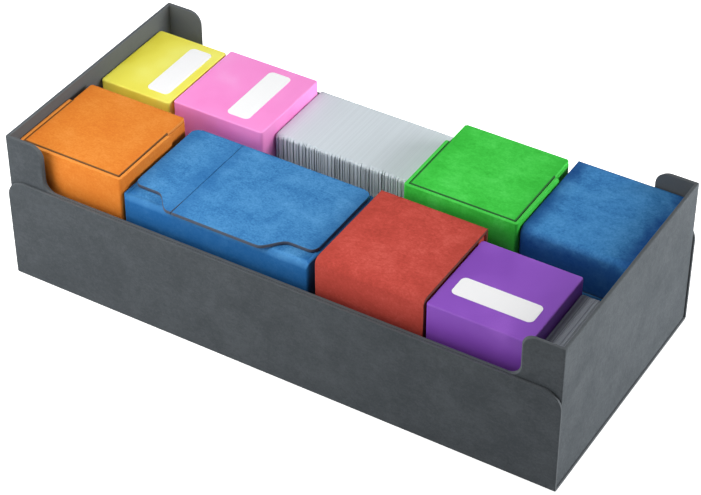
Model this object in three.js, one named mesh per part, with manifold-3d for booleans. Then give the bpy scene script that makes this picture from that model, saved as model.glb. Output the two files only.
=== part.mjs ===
// Two-row card storage box, standing in its own cover, filled with deck boxes and loose sleeved cards.
//
// Frame: millimetres, +X along the rows, +Y to the back, +Z up.
// The origin is the middle of the cover's underside, which is the face that rests on the table.
//
// Each physical piece is one named mesh.
// The tray is sized from what it holds: the front row gives the inner length, the deepest box gives
// the depth of a row, and the tallest box gives the height of the end walls.

import * as THREE from 'three';
import { mergeVertices } from 'three/addons/utils/BufferGeometryUtils.js';
import Module from 'manifold-3d';

const wasm = await Module();
wasm.setup();

// Driving sizes, in millimetres.

// Standard sleeved playing card.
const cardWidth = 66;
const cardHeight = 91;
const cardCornerRadius = 3;
const cardBundleThickness = 2.4;
const cardUnevenness = 1.3;

// Flip box: an inner shell, a band round its front and sides, and a flap set flush between them.
const flipBoxWidth = 88.8;
const flipBoxDepth = 83.4;
const flipBoxHeight = 107.7;
const flipBandThickness = 2.6;
const flipBandRadius = 2.2;
const flipBandInnerRadius = 0.6;
const flipBandEndRadius = 4;
const flipBandLengthShare = 0.75;
const flipShellWall = 2;
const flipFlapThickness = 2.6;
const flipFlapSeam = 0.5;

// Wrap box: an inner case in a board wrap whose top and upper front open as one piece.
const wrapBoxWidth = 83.6;
const wrapBoxDepth = 87;
const wrapBoxHeight = 104.2;
const wrapBoard = 2.6;
const wrapFoldRadius = 5;
const wrapSkirtHeight = 35;
const wrapSideInset = 0.8;
const wrapCaseWall = 2.2;

// Plain moulded box: a body with a neck, a telescoping lid and a bare label.
const plainBoxWidth = 76.5;
const plainBoxDepth = 77;
const plainSlimDepth = 60.5;
const plainBoxHeight = 101.9;
const plainLidHeight = 32;
const plainWall = 1.6;
const plainNeckWall = 1.5;
const plainCornerRadius = 3;
const plainTopEdge = 1.4;
const labelLength = 60.5;
const labelWidth = 19;
const labelRadius = 4;
const labelThickness = 0.4;
const labelFromFront = 27;
const labelFromFrontSlim = 16.4;

// Long box: a shell with a front ledge, a small and a large compartment, and a lid in two leaves.
const longBoxLength = 151.7;
const longBoxDepth = 87.2;
const longBoxHeight = 98.8;
const longWall = 2.6;
const longCornerRadius = 2.6;
const longTopEdgeRadius = 5;
const longLedgeDepth = 16;
const longLedgeThickness = 6;
const longPartitionThickness = 2;
const longSmallLeafLength = 41.1;
const longLeafInset = 1.7;
const longLeafThickness = 2.6;
const longLeafCornerRadius = 6;
const longTongueWidth = 72.5;
const longTongueCurve = 18;
const longTongueOverhang = 3;
const longLeafSetback = 11.2;

// Magnet discs in the closures.
const magnetRadius = 5;
const magnetThickness = 1.2;
const magnetLedgeCover = 1.6;

// Tray.
const trayBoard = 2.6;
const trayLining = 0.6;
const trayRowSpare = 9.6;
const trayRimAboveBoxes = 9.1;
const trayEarWidth = 27;
const trayEarRadius = 10;
const trayEarFootRadius = 9;
const trayRimRadius = 1.5;
const trayLowWallShare = 0.694;
const trayDividerShare = 0.62;

// Cover, a channel that the tray stands in.
const coverBoard = 2;
const coverOverlength = 1.1;
const coverPanelRadius = 14;
const coverPanelShare = 0.7;

// How the boxes stand in the rows.
// Each stand share is the part of a row's spare depth that is left in front of a box.
const boxGap = 0.9;
const endGap = 0.5;
const frontRowSpare = 4.5;
const backRowSpare = 2.3;
const cardBundleLength = 25.3;
const orangeStandShare = 0.48;
const longStandShare = 0.74;
const redStandShare = 0.67;
const purpleStandShare = 0.36;
const bundleStandShare = 0.52;
const yellowStandShare = 0.31;
const pinkStandShare = 0.52;
const blockStandShare = 0.86;
const greenStandShare = 0.32;
const blueStandShare = 0.75;

// Clearances and edges.
const seatGap = 0.3;
const softEdge = 0.5;
const cutOverrun = 2;
const edgeSteps = 1;
const curveSteps = 5;

// Colours and surfaces.

const colours = {
  grey: { color: 0x55595c, roughness: 0.85 },
  greyInside: { color: 0x4a4e51, roughness: 0.9 },
  orange: { color: 0xe8822d, roughness: 0.8 },
  green: { color: 0x3fc043, roughness: 0.8 },
  red: { color: 0xc64a42, roughness: 0.8 },
  blue: { color: 0x3a80bd, roughness: 0.8 },
  yellow: { color: 0xe8dc50, roughness: 0.5 },
  pink: { color: 0xf088cc, roughness: 0.5 },
  purple: { color: 0x8650b4, roughness: 0.5 },
  label: { color: 0xf4f4f2, roughness: 0.6 },
  card: { color: 0xc9ced3, roughness: 0.45 },
  magnet: { color: 0xb0b3b6, roughness: 0.3, metalness: 1 },
};

// Helpers.

/** Turns a closed geometry into a solid that can be cut and joined. */
function toSolid(geometry) {
  const bare = geometry.clone();
  bare.deleteAttribute('normal');
  bare.deleteAttribute('uv');
  const merged = mergeVertices(bare);
  return new wasm.Manifold(new wasm.Mesh({
    numProp: 3,
    vertProperties: new Float32Array(merged.attributes.position.array),
    triVerts: new Uint32Array(merged.index.array),
  }));
}

/** Turns a solid back into a geometry. */
function toGeometry(solid) {
  const mesh = solid.getMesh();
  const geometry = new THREE.BufferGeometry();
  geometry.setAttribute('position', new THREE.BufferAttribute(mesh.vertProperties, 3));
  geometry.setIndex(new THREE.BufferAttribute(mesh.triVerts, 1));
  geometry.computeVertexNormals();
  return geometry;
}

/** Cuts each tool away from a geometry. */
function cut(geometry, ...tools) {
  let solid = toSolid(geometry);
  for (const tool of tools) {
    solid = solid.subtract(toSolid(tool));
  }
  return toGeometry(solid);
}

/** Joins geometries that overlap into one. */
function join(geometry, ...others) {
  let solid = toSolid(geometry);
  for (const other of others) {
    solid = solid.add(toSolid(other));
  }
  return toGeometry(solid);
}

/** Keeps what two geometries share. */
function common(first, second) {
  return toGeometry(toSolid(first).intersect(toSolid(second)));
}

/** A box between two corners. */
function block(low, high) {
  const geometry = new THREE.BoxGeometry(high[0] - low[0], high[1] - low[1], high[2] - low[2]);
  geometry.translate((low[0] + high[0]) / 2, (low[1] + high[1]) / 2, (low[2] + high[2]) / 2);
  return geometry;
}

/** A rectangle whose corners are rounded: radii run from the lower left corner, anticlockwise. */
function roundedRectangle(left, bottom, right, top, radii) {
  const [a, b, c, d] = Array.isArray(radii) ? radii : [radii, radii, radii, radii];
  const quarter = Math.PI / 2;
  const shape = new THREE.Shape();
  shape.moveTo(left + a, bottom);
  shape.lineTo(right - b, bottom);
  if (b > 0) shape.absarc(right - b, bottom + b, b, -quarter, 0, false);
  shape.lineTo(right, top - c);
  if (c > 0) shape.absarc(right - c, top - c, c, 0, quarter, false);
  shape.lineTo(left + d, top);
  if (d > 0) shape.absarc(left + d, top - d, d, quarter, Math.PI, false);
  shape.lineTo(left, bottom + a);
  if (a > 0) shape.absarc(left + a, bottom + a, a, Math.PI, Math.PI + quarter, false);
  return shape;
}

/** A plate lying flat, its outline in X and Y, from height zero up, with softened edges. */
function plate(shape, thickness, edge = softEdge) {
  const geometry = new THREE.ExtrudeGeometry(shape, {
    depth: thickness - 2 * edge,
    bevelEnabled: edge > 0,
    bevelThickness: edge,
    bevelSize: edge,
    bevelOffset: -edge,
    bevelSegments: edgeSteps,
    curveSegments: curveSteps,
  });
  geometry.translate(0, 0, edge);
  return geometry;
}

/** A plate standing along X, its outline in X and Z, from the given front face back. */
function plateAlongX(shape, thickness, front, edge = softEdge) {
  const geometry = plate(shape, thickness, edge);
  geometry.rotateX(Math.PI / 2);
  geometry.translate(0, front + thickness, 0);
  return geometry;
}

/** A plate standing along Y, its outline in Y and Z, from the given left face to the right. */
function plateAlongY(shape, thickness, left, edge = softEdge) {
  const geometry = plate(shape, thickness, edge);
  geometry.rotateX(Math.PI / 2);
  geometry.rotateZ(Math.PI / 2);
  geometry.translate(left, 0, 0);
  return geometry;
}

/** A disc on an axis along Z, from the given height up. */
function disc(x, y, bottom, radius, thickness) {
  const geometry = new THREE.CylinderGeometry(radius, radius, thickness, 4 * curveSteps);
  geometry.rotateX(Math.PI / 2);
  geometry.translate(x, y, bottom + thickness / 2);
  return geometry;
}

/** A disc on an axis along Y, from the given front face back. */
function discAlongY(x, front, z, radius, thickness) {
  const geometry = new THREE.CylinderGeometry(radius, radius, thickness, 4 * curveSteps);
  geometry.translate(x, front + thickness / 2, z);
  return geometry;
}

const model = new THREE.Group();

/** Adds one named piece to a group. */
function addPiece(group, name, geometry, finish) {
  const material = new THREE.MeshStandardMaterial({ metalness: 0, ...colours[finish] });
  const mesh = new THREE.Mesh(geometry, material);
  mesh.name = name;
  group.add(mesh);
  return mesh;
}

/** A group at a place, turned about the vertical by quarter turns. */
function placeGroup(x, y, z, quarterTurns = 0) {
  const group = new THREE.Group();
  group.position.set(x, y, z);
  group.rotation.z = quarterTurns * Math.PI / 2;
  model.add(group);
  return group;
}

// Sizes that follow from the driving ones.

const frontRow = [flipBoxWidth, longBoxLength, wrapBoxWidth, plainBoxWidth, cardBundleLength];
const innerLength = frontRow.reduce((sum, width) => sum + width, 0)
  + (frontRow.length - 1) * boxGap + 2 * endGap + frontRowSpare;
const backRowBoxes = [plainSlimDepth, plainBoxDepth, flipBoxWidth, wrapBoxWidth];
const cardBlockLength = innerLength - backRowBoxes.reduce((sum, width) => sum + width, 0)
  - backRowBoxes.length * boxGap - 2 * endGap - backRowSpare;
const rowDepth = Math.max(flipBoxDepth, wrapBoxDepth, plainBoxWidth, longBoxDepth, cardWidth) + trayRowSpare;
const tallestBox = Math.max(flipBoxHeight, wrapBoxHeight, plainBoxHeight, longBoxHeight, cardHeight);

const trayLength = innerLength + 2 * trayBoard;
const trayInnerDepth = 2 * rowDepth + trayBoard;
const trayDepth = trayInnerDepth + 2 * trayBoard;
const trayBottom = coverBoard + seatGap;
const trayFloorTop = trayBottom + trayBoard;
const liningTop = trayFloorTop + seatGap + trayLining;
const standHeight = liningTop + seatGap;
const trayTop = standHeight + tallestBox + trayRimAboveBoxes;
const trayHeight = trayTop - trayBottom;
const lowWallTop = trayBottom + trayHeight * trayLowWallShare;

const innerLeft = -innerLength / 2;
const innerRight = innerLength / 2;
const innerFront = -trayInnerDepth / 2;
const innerBack = trayInnerDepth / 2;
const dividerFront = -trayBoard / 2;
const dividerBack = trayBoard / 2;

/** Where a piece of a given depth stands in the front row, measured to its middle. */
function frontRowY(depth, share) {
  return innerFront + depth / 2 + (rowDepth - depth) * share;
}

/** Where a piece of a given depth stands in the back row, measured to its middle. */
function backRowY(depth, share) {
  return dividerBack + depth / 2 + (rowDepth - depth) * share;
}

// Cover.

{
  const group = placeGroup(0, 0, 0);
  const halfLength = trayLength / 2 + coverOverlength;
  const innerHalf = trayDepth / 2 + seatGap;
  const panelTop = trayTop * coverPanelShare;
  const base = roundedRectangle(-halfLength, -innerHalf + seatGap, halfLength, innerHalf - seatGap, 0);
  addPiece(group, 'cover_base', plate(base, coverBoard), 'grey');
  const lowRadius = coverBoard;
  const panel = roundedRectangle(-halfLength, 0, halfLength, panelTop,
    [lowRadius, lowRadius, coverPanelRadius, coverPanelRadius]);
  addPiece(group, 'cover_front_panel', plateAlongX(panel, coverBoard, -innerHalf - coverBoard), 'grey');
  addPiece(group, 'cover_back_panel', plateAlongX(panel, coverBoard, innerHalf), 'grey');
}

// Tray.

/** The outline of the front and back walls: low in the middle, with a raised ear at each end. */
function earedWall(halfLength) {
  const quarter = Math.PI / 2;
  const inner = halfLength - trayEarWidth;
  const footCentre = lowWallTop + trayEarFootRadius;
  const shape = new THREE.Shape();
  shape.moveTo(-halfLength, trayBottom);
  shape.lineTo(halfLength, trayBottom);
  shape.lineTo(halfLength, trayTop);
  shape.lineTo(inner + trayEarRadius, trayTop);
  shape.absarc(inner + trayEarRadius, trayTop - trayEarRadius, trayEarRadius, quarter, Math.PI, false);
  shape.lineTo(inner, footCentre);
  shape.absarc(inner - trayEarFootRadius, footCentre, trayEarFootRadius, 0, -quarter, true);
  shape.lineTo(-inner + trayEarFootRadius, lowWallTop);
  shape.absarc(-inner + trayEarFootRadius, footCentre, trayEarFootRadius, -quarter, -2 * quarter, true);
  shape.lineTo(-inner, trayTop - trayEarRadius);
  shape.absarc(-inner - trayEarRadius, trayTop - trayEarRadius, trayEarRadius, 0, quarter, false);
  shape.lineTo(-halfLength, trayTop);
  return shape;
}

{
  const group = placeGroup(0, 0, 0);
  const wallHalf = innerLength / 2 - seatGap;
  const wall = earedWall(wallHalf);
  addPiece(group, 'tray_front_wall', plateAlongX(wall, trayBoard, innerFront - trayBoard), 'grey');
  addPiece(group, 'tray_back_wall', plateAlongX(wall, trayBoard, innerBack), 'grey');
  const end = roundedRectangle(innerFront - trayBoard, trayBottom, innerBack + trayBoard, trayTop,
    [0, 0, trayRimRadius, trayRimRadius]);
  addPiece(group, 'tray_left_end', plateAlongY(end, trayBoard, innerLeft - trayBoard), 'grey');
  addPiece(group, 'tray_right_end', plateAlongY(end, trayBoard, innerRight), 'grey');

  const floor = roundedRectangle(innerLeft + seatGap, innerFront + seatGap, innerRight - seatGap,
    innerBack - seatGap, 0);
  const floorPlate = plate(floor, trayBoard);
  floorPlate.translate(0, 0, trayBottom);
  addPiece(group, 'tray_floor', floorPlate, 'grey');

  const dividerTop = trayBottom + trayHeight * trayDividerShare;
  const divider = roundedRectangle(innerLeft + seatGap, trayFloorTop + seatGap, innerRight - seatGap,
    dividerTop, 0);
  addPiece(group, 'tray_divider', plateAlongX(divider, trayBoard, dividerFront), 'greyInside');

  const linings = [
    ['tray_lining_front', innerFront, dividerFront],
    ['tray_lining_back', dividerBack, innerBack],
  ];
  for (const [name, front, back] of linings) {
    const lining = block([innerLeft + seatGap, front + seatGap, trayFloorTop + seatGap],
      [innerRight - seatGap, back - seatGap, liningTop]);
    addPiece(group, name, lining, 'greyInside');
  }
}

// Flip boxes.

/** A flip box, centred on its group, standing on height zero, its hinge at the back. */
function addFlipBox(group, name, finish) {
  const halfWidth = flipBoxWidth / 2;
  const front = -flipBoxDepth / 2;
  const back = flipBoxDepth / 2;
  const bandBack = front + flipBoxDepth * flipBandLengthShare;
  const inside = halfWidth - flipBandThickness;

  const outer = roundedRectangle(-halfWidth, front, halfWidth, bandBack,
    [flipBandRadius, flipBandRadius, 0, 0]);
  const hollow = roundedRectangle(-inside, front + flipBandThickness, inside, bandBack + cutOverrun,
    [flipBandInnerRadius, flipBandInnerRadius, 0, 0]);
  const hollowTool = plate(hollow, flipBoxHeight + 2 * cutOverrun, 0);
  hollowTool.translate(0, 0, -cutOverrun);
  const side = roundedRectangle(front - cutOverrun, 0, bandBack, flipBoxHeight,
    [0, 0, flipBandEndRadius, 0]);
  const sideTool = plateAlongY(side, flipBoxWidth + 2 * cutOverrun, -halfWidth - cutOverrun, 0);
  const band = common(cut(plate(outer, flipBoxHeight), hollowTool), sideTool);
  addPiece(group, `${name}_band`, band, finish);

  const shellHalf = inside - seatGap;
  const shellFront = front + flipBandThickness + seatGap;
  const shellHeight = flipBoxHeight - flipFlapThickness - seatGap;
  const shellPlan = roundedRectangle(-shellHalf, shellFront, shellHalf, back, flipShellWall / 2);
  const cavity = block([-shellHalf + flipShellWall, shellFront + flipShellWall, flipShellWall],
    [shellHalf - flipShellWall, back - flipShellWall, flipBoxHeight + cutOverrun]);
  addPiece(group, `${name}_shell`, cut(plate(shellPlan, shellHeight), cavity), finish);

  const flapHalf = inside - flipFlapSeam;
  const flapPlan = roundedRectangle(-flapHalf, front + flipBandThickness + flipFlapSeam, flapHalf, back,
    [flipFlapThickness / 2, flipFlapThickness / 2, 0, 0]);
  const flap = plate(flapPlan, flipFlapThickness);
  flap.translate(0, 0, flipBoxHeight - flipFlapThickness);
  addPiece(group, `${name}_flap`, flap, finish);
}

// Wrap boxes.

/** The section of the wrap's flap: the top board, the fold, and the skirt down the front. */
function wrapFlapSection(front, back) {
  const quarter = Math.PI / 2;
  const top = wrapBoxHeight;
  const inner = wrapFoldRadius - wrapBoard;
  const shape = new THREE.Shape();
  shape.moveTo(back, top);
  shape.lineTo(front + wrapFoldRadius, top);
  shape.absarc(front + wrapFoldRadius, top - wrapFoldRadius, wrapFoldRadius, quarter, Math.PI, false);
  shape.lineTo(front, top - wrapSkirtHeight);
  shape.lineTo(front + wrapBoard, top - wrapSkirtHeight);
  shape.lineTo(front + wrapBoard, top - wrapBoard - inner);
  shape.absarc(front + wrapFoldRadius, top - wrapFoldRadius, inner, Math.PI, quarter, true);
  shape.lineTo(back, top - wrapBoard);
  return shape;
}

/** A wrap box, centred on its group, standing on height zero, its hinge at the back. */
function addWrapBox(group, name, finish) {
  const halfWidth = wrapBoxWidth / 2;
  const front = -wrapBoxDepth / 2;
  const back = wrapBoxDepth / 2;
  const caseHalf = halfWidth - wrapSideInset;
  const caseFront = front + wrapBoard + seatGap;
  const caseBack = back - wrapBoard - seatGap;
  const caseHeight = wrapBoxHeight - wrapBoard - seatGap;
  const magnetHeight = wrapBoxHeight - wrapSkirtHeight + 2 * magnetRadius;
  const pocketRadius = magnetRadius + seatGap;
  const pocketDepth = magnetThickness + seatGap;

  const innerFold = wrapFoldRadius - wrapBoard;
  const casePlan = roundedRectangle(-caseHalf, caseFront, caseHalf, caseBack, wrapCaseWall / 2);
  const cavity = block([-caseHalf + wrapCaseWall, caseFront + wrapCaseWall, wrapCaseWall],
    [caseHalf - wrapCaseWall, caseBack - wrapCaseWall, wrapBoxHeight + cutOverrun]);
  const casePocket = discAlongY(0, caseFront - cutOverrun, magnetHeight, pocketRadius,
    cutOverrun + pocketDepth);
  const caseProfile = roundedRectangle(caseFront, 0, caseBack, caseHeight, [0, 0, 0, innerFold]);
  const foldRelief = plateAlongY(caseProfile, wrapBoxWidth, -halfWidth, 0);
  const shell = cut(plate(casePlan, caseHeight), cavity, casePocket);
  addPiece(group, `${name}_case`, common(shell, foldRelief), finish);
  addPiece(group, `${name}_case_magnet`,
    discAlongY(0, caseFront, magnetHeight, magnetRadius, magnetThickness), 'magnet');

  const skirtPocket = discAlongY(0, front + wrapBoard - pocketDepth, magnetHeight, pocketRadius,
    pocketDepth + cutOverrun);
  const flap = plateAlongY(wrapFlapSection(front, back), wrapBoxWidth, -halfWidth);
  const pocketLimit = block([-pocketRadius - seatGap, front, magnetHeight - pocketRadius - seatGap],
    [pocketRadius + seatGap, front + wrapBoard + seatGap, magnetHeight + pocketRadius + seatGap]);
  addPiece(group, `${name}_flap`, cut(flap, common(skirtPocket, pocketLimit)), finish);
  const flapMagnetFront = front + wrapBoard - magnetThickness;
  addPiece(group, `${name}_flap_magnet`,
    discAlongY(0, flapMagnetFront, magnetHeight, magnetRadius, magnetThickness), 'magnet');

  const backBoard = roundedRectangle(-halfWidth, 0, halfWidth, caseHeight, 0);
  addPiece(group, `${name}_wrap_back`, plateAlongX(backBoard, wrapBoard, back - wrapBoard), finish);
  const frontTop = wrapBoxHeight - wrapSkirtHeight - seatGap;
  const frontBoard = roundedRectangle(-halfWidth, 0, halfWidth, frontTop, 0);
  addPiece(group, `${name}_wrap_front`, plateAlongX(frontBoard, wrapBoard, front), finish);
}

// Plain moulded boxes.

/** An upright block with rounded corners and a softened top. */
function mouldedBlock(width, depth, bottom, top, radius, edge) {
  const plan = roundedRectangle(-width / 2, -depth / 2, width / 2, depth / 2, radius);
  const tall = plate(plan, top - bottom + cutOverrun + edge, edge);
  tall.translate(0, 0, bottom - cutOverrun - edge);
  const keep = block([-width, -depth, bottom], [width, depth, top + cutOverrun]);
  return common(tall, keep);
}

/** A plain box, centred on its group, standing on height zero, its label lying along X. */
function addPlainBox(group, name, depth, labelDistance) {
  const width = plainBoxWidth;
  const neckInset = 2 * (plainWall + seatGap);
  const shoulder = plainBoxHeight - plainLidHeight - seatGap;
  const neckTop = plainBoxHeight - plainWall - seatGap;
  const neckRadius = plainCornerRadius - plainWall / 2;
  const boreInset = neckInset + 2 * plainNeckWall;
  const outer = mouldedBlock(width, depth, 0, shoulder, plainCornerRadius, softEdge);
  const neck = mouldedBlock(width - neckInset, depth - neckInset, plainWall, neckTop, neckRadius, softEdge);
  const boreBottom = plainWall;
  const bore = mouldedBlock(width - boreInset, depth - boreInset, boreBottom, neckTop + cutOverrun,
    neckRadius / 2, 0);
  addPiece(group, `${name}_body`, cut(join(outer, neck), bore), name);

  const lidBottom = plainBoxHeight - plainLidHeight;
  const lidOuter = mouldedBlock(width, depth, lidBottom, plainBoxHeight, plainCornerRadius, plainTopEdge);
  const lidBore = mouldedBlock(width - 2 * plainWall, depth - 2 * plainWall, lidBottom - cutOverrun,
    plainBoxHeight - plainWall, plainCornerRadius - plainWall / 2, 0);
  const labelCentre = -depth / 2 + labelDistance;
  const recessGap = seatGap;
  const recessPlan = roundedRectangle(-labelLength / 2 - recessGap, labelCentre - labelWidth / 2 - recessGap,
    labelLength / 2 + recessGap, labelCentre + labelWidth / 2 + recessGap, labelRadius + recessGap);
  const recess = plate(recessPlan, labelThickness + seatGap + cutOverrun, 0);
  recess.translate(0, 0, plainBoxHeight - labelThickness - seatGap + softEdge / 2);
  addPiece(group, `${name}_lid`, cut(lidOuter, lidBore, recess), name);

  const labelPlan = roundedRectangle(-labelLength / 2, labelCentre - labelWidth / 2,
    labelLength / 2, labelCentre + labelWidth / 2, labelRadius);
  const label = plate(labelPlan, labelThickness, 0);
  label.translate(0, 0, plainBoxHeight - labelThickness + softEdge / 2);
  addPiece(group, `${name}_label`, label, 'label');
}

// Long box.

/** The plan of the long box's whole lid: rounded corners, and a tongue that reaches past the front. */
function lidPlan(halfLength, back, setbackLine, tongueLine) {
  const quarter = Math.PI / 2;
  const radius = longLeafCornerRadius;
  const half = longTongueWidth / 2;
  const reach = half + longTongueCurve;
  const bend = longTongueCurve / 2;
  const shape = new THREE.Shape();
  shape.moveTo(-halfLength, back - radius);
  shape.lineTo(-halfLength, setbackLine + radius);
  shape.absarc(-halfLength + radius, setbackLine + radius, radius, Math.PI, Math.PI + quarter, false);
  shape.lineTo(-reach, setbackLine);
  shape.bezierCurveTo(-reach + bend, setbackLine, -half - bend, tongueLine, -half, tongueLine);
  shape.lineTo(half, tongueLine);
  shape.bezierCurveTo(half + bend, tongueLine, reach - bend, setbackLine, reach, setbackLine);
  shape.lineTo(halfLength - radius, setbackLine);
  shape.absarc(halfLength - radius, setbackLine + radius, radius, -quarter, 0, false);
  shape.lineTo(halfLength, back - radius);
  shape.absarc(halfLength - radius, back - radius, radius, 0, quarter, false);
  shape.lineTo(-halfLength + radius, back);
  shape.absarc(-halfLength + radius, back - radius, radius, quarter, Math.PI, false);
  return shape;
}

/** The long box, centred on its group, standing on height zero, both leaves hinged at the back. */
function addLongBox(group, name, finish) {
  const halfLength = longBoxLength / 2;
  const front = -longBoxDepth / 2;
  const back = longBoxDepth / 2;
  const shellHeight = longBoxHeight - longLeafThickness - seatGap;
  const ledgeBack = front + longLedgeDepth;
  const lidHalfLength = halfLength - longLeafInset;
  const seam = -lidHalfLength + longSmallLeafLength;
  const magnetX = longTongueWidth / 4;
  const magnetY = front + (longWall + longLedgeDepth) / 2;
  const pocketRadius = magnetRadius + seatGap;
  const pocketDepth = magnetThickness + seatGap;

  const plan = roundedRectangle(-halfLength, front, halfLength, back, longCornerRadius);
  const side = roundedRectangle(front, 0, back, shellHeight, [0, 0, 0, longTopEdgeRadius]);
  const sideTool = plateAlongY(side, longBoxLength + 2 * cutOverrun, -halfLength - cutOverrun, 0);
  const solid = common(plate(plan, shellHeight, 0), sideTool);
  const well = block([-halfLength + longWall, ledgeBack, longWall],
    [halfLength - longWall, back - longWall, shellHeight + cutOverrun]);
  const underLedge = block([-halfLength + longWall, front + longWall, longWall],
    [halfLength - longWall, ledgeBack + cutOverrun, shellHeight - longLedgeThickness]);
  const ledgePockets = [-magnetX, magnetX].map((x) => disc(x, magnetY,
    shellHeight - longLedgeThickness - cutOverrun, pocketRadius,
    longLedgeThickness - magnetLedgeCover + cutOverrun));
  addPiece(group, `${name}_shell`, cut(solid, well, underLedge, ...ledgePockets), finish);

  const partition = roundedRectangle(-halfLength + longWall + seatGap, longWall + seatGap,
    halfLength - longWall - seatGap, shellHeight - longLedgeThickness - seatGap, 0);
  addPiece(group, `${name}_partition`, plateAlongX(partition, longPartitionThickness,
    ledgeBack - longPartitionThickness), finish);
  const divider = roundedRectangle(ledgeBack + seatGap, longWall + seatGap,
    back - longWall - seatGap, shellHeight, 0);
  addPiece(group, `${name}_divider`, plateAlongY(divider, longPartitionThickness,
    seam - longPartitionThickness / 2), finish);

  const leafBottom = longBoxHeight - longLeafThickness;
  const setbackLine = front + longLeafSetback;
  const tongueLine = front - longTongueOverhang;
  const leafPockets = [-magnetX, magnetX].map((x) => disc(x, magnetY, leafBottom - cutOverrun, pocketRadius,
    cutOverrun + pocketDepth));
  const lid = plate(lidPlan(lidHalfLength, back, setbackLine, tongueLine), longLeafThickness);
  lid.translate(0, 0, leafBottom);
  const wholeLid = cut(lid, ...leafPockets);
  const lowCorner = [-halfLength - cutOverrun, tongueLine - cutOverrun, leafBottom - cutOverrun];
  const highCorner = [halfLength + cutOverrun, back + cutOverrun, longBoxHeight + cutOverrun];
  const leafGap = seatGap / 2;
  const mainSide = block([seam + leafGap, lowCorner[1], lowCorner[2]], highCorner);
  const smallSide = block(lowCorner, [seam - leafGap, highCorner[1], highCorner[2]]);
  addPiece(group, `${name}_main_leaf`, common(wholeLid, mainSide), finish);
  addPiece(group, `${name}_small_leaf`, common(wholeLid, smallSide), finish);

  [-magnetX, magnetX].forEach((x, index) => {
    const ledgeMagnetBottom = shellHeight - magnetLedgeCover - seatGap - magnetThickness;
    addPiece(group, `${name}_ledge_magnet_${index + 1}`,
      disc(x, magnetY, ledgeMagnetBottom, magnetRadius, magnetThickness), 'magnet');
    addPiece(group, `${name}_leaf_magnet_${index + 1}`,
      disc(x, magnetY, leafBottom, magnetRadius, magnetThickness), 'magnet');
  });
}

// Loose cards.

/** A repeatable scatter in even levels from zero to one, never the same for two neighbours. */
function scatter(number, seed) {
  const levels = 7;
  return ((number * number + 3 * number + seed) % levels) / (levels - 1);
}

/** Upright sleeved cards packed along X, centred on their group, their edges slightly uneven. */
function addCards(group, name, length, seed) {
  const count = Math.max(2, Math.round(length / cardBundleThickness));
  const step = length / count;
  const half = cardWidth / 2;
  const shape = new THREE.Shape();
  const outline = [];
  for (let i = 0; i < count; i += 1) {
    const y = -half + cardUnevenness * scatter(i, seed);
    outline.push([-length / 2 + i * step, y], [-length / 2 + (i + 1) * step, y]);
  }
  for (let i = count - 1; i >= 0; i -= 1) {
    const y = half - cardUnevenness * scatter(i, seed + 1);
    outline.push([-length / 2 + (i + 1) * step, y], [-length / 2 + i * step, y]);
  }
  outline.forEach(([x, y], index) => (index === 0 ? shape.moveTo(x, y) : shape.lineTo(x, y)));
  const profile = roundedRectangle(-half, 0, half, cardHeight, cardCornerRadius);
  const profileTool = plateAlongY(profile, length + 2 * cutOverrun, -length / 2 - cutOverrun, 0);
  addPiece(group, name, common(plate(shape, cardHeight, 0), profileTool), 'card');
}

// Standing the boxes in the rows.

{
  let left = innerLeft + endGap;
  /** Takes the next stretch of a row and returns its middle. */
  const next = (width) => {
    const middle = left + width / 2;
    left += width + boxGap;
    return middle;
  };
  addFlipBox(placeGroup(next(flipBoxWidth), frontRowY(flipBoxDepth, orangeStandShare), standHeight),
    'orange', 'orange');
  addLongBox(placeGroup(next(longBoxLength), frontRowY(longBoxDepth, longStandShare), standHeight),
    'long', 'blue');
  left += frontRowSpare;
  addWrapBox(placeGroup(next(wrapBoxWidth), frontRowY(wrapBoxDepth, redStandShare), standHeight),
    'red', 'red');
  addPlainBox(placeGroup(next(plainBoxWidth), frontRowY(plainBoxDepth, purpleStandShare), standHeight),
    'purple', plainBoxDepth, labelFromFront);
  addCards(placeGroup(next(cardBundleLength), frontRowY(cardWidth, bundleStandShare), standHeight),
    'card_bundle', cardBundleLength, 3);

  left = innerLeft + endGap;
  addPlainBox(placeGroup(next(plainSlimDepth), backRowY(plainBoxWidth, yellowStandShare), standHeight, 1),
    'yellow', plainSlimDepth, labelFromFrontSlim);
  addPlainBox(placeGroup(next(plainBoxDepth), backRowY(plainBoxWidth, pinkStandShare), standHeight, 1),
    'pink', plainBoxDepth, labelFromFront);
  addCards(placeGroup(next(cardBlockLength), backRowY(cardWidth, blockStandShare), standHeight),
    'card_block', cardBlockLength, 7);
  addFlipBox(placeGroup(next(flipBoxWidth), backRowY(flipBoxDepth, greenStandShare), standHeight),
    'green', 'green');
  addWrapBox(placeGroup(next(wrapBoxWidth), backRowY(wrapBoxDepth, blueStandShare), standHeight),
    'blue', 'blue');
}

export default model;
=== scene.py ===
"""Dresses a card storage box with eight deck boxes and loose cards in suede, plastic and card finishes.

Every visible board, shell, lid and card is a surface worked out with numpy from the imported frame's own
boxes, so a piece sits exactly where its solid sits. Lengths are in metres, heights run up Z.
"""

import logging
import math
from dataclasses import dataclass, field, replace
from enum import Enum
from typing import Iterable, Sequence

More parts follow.
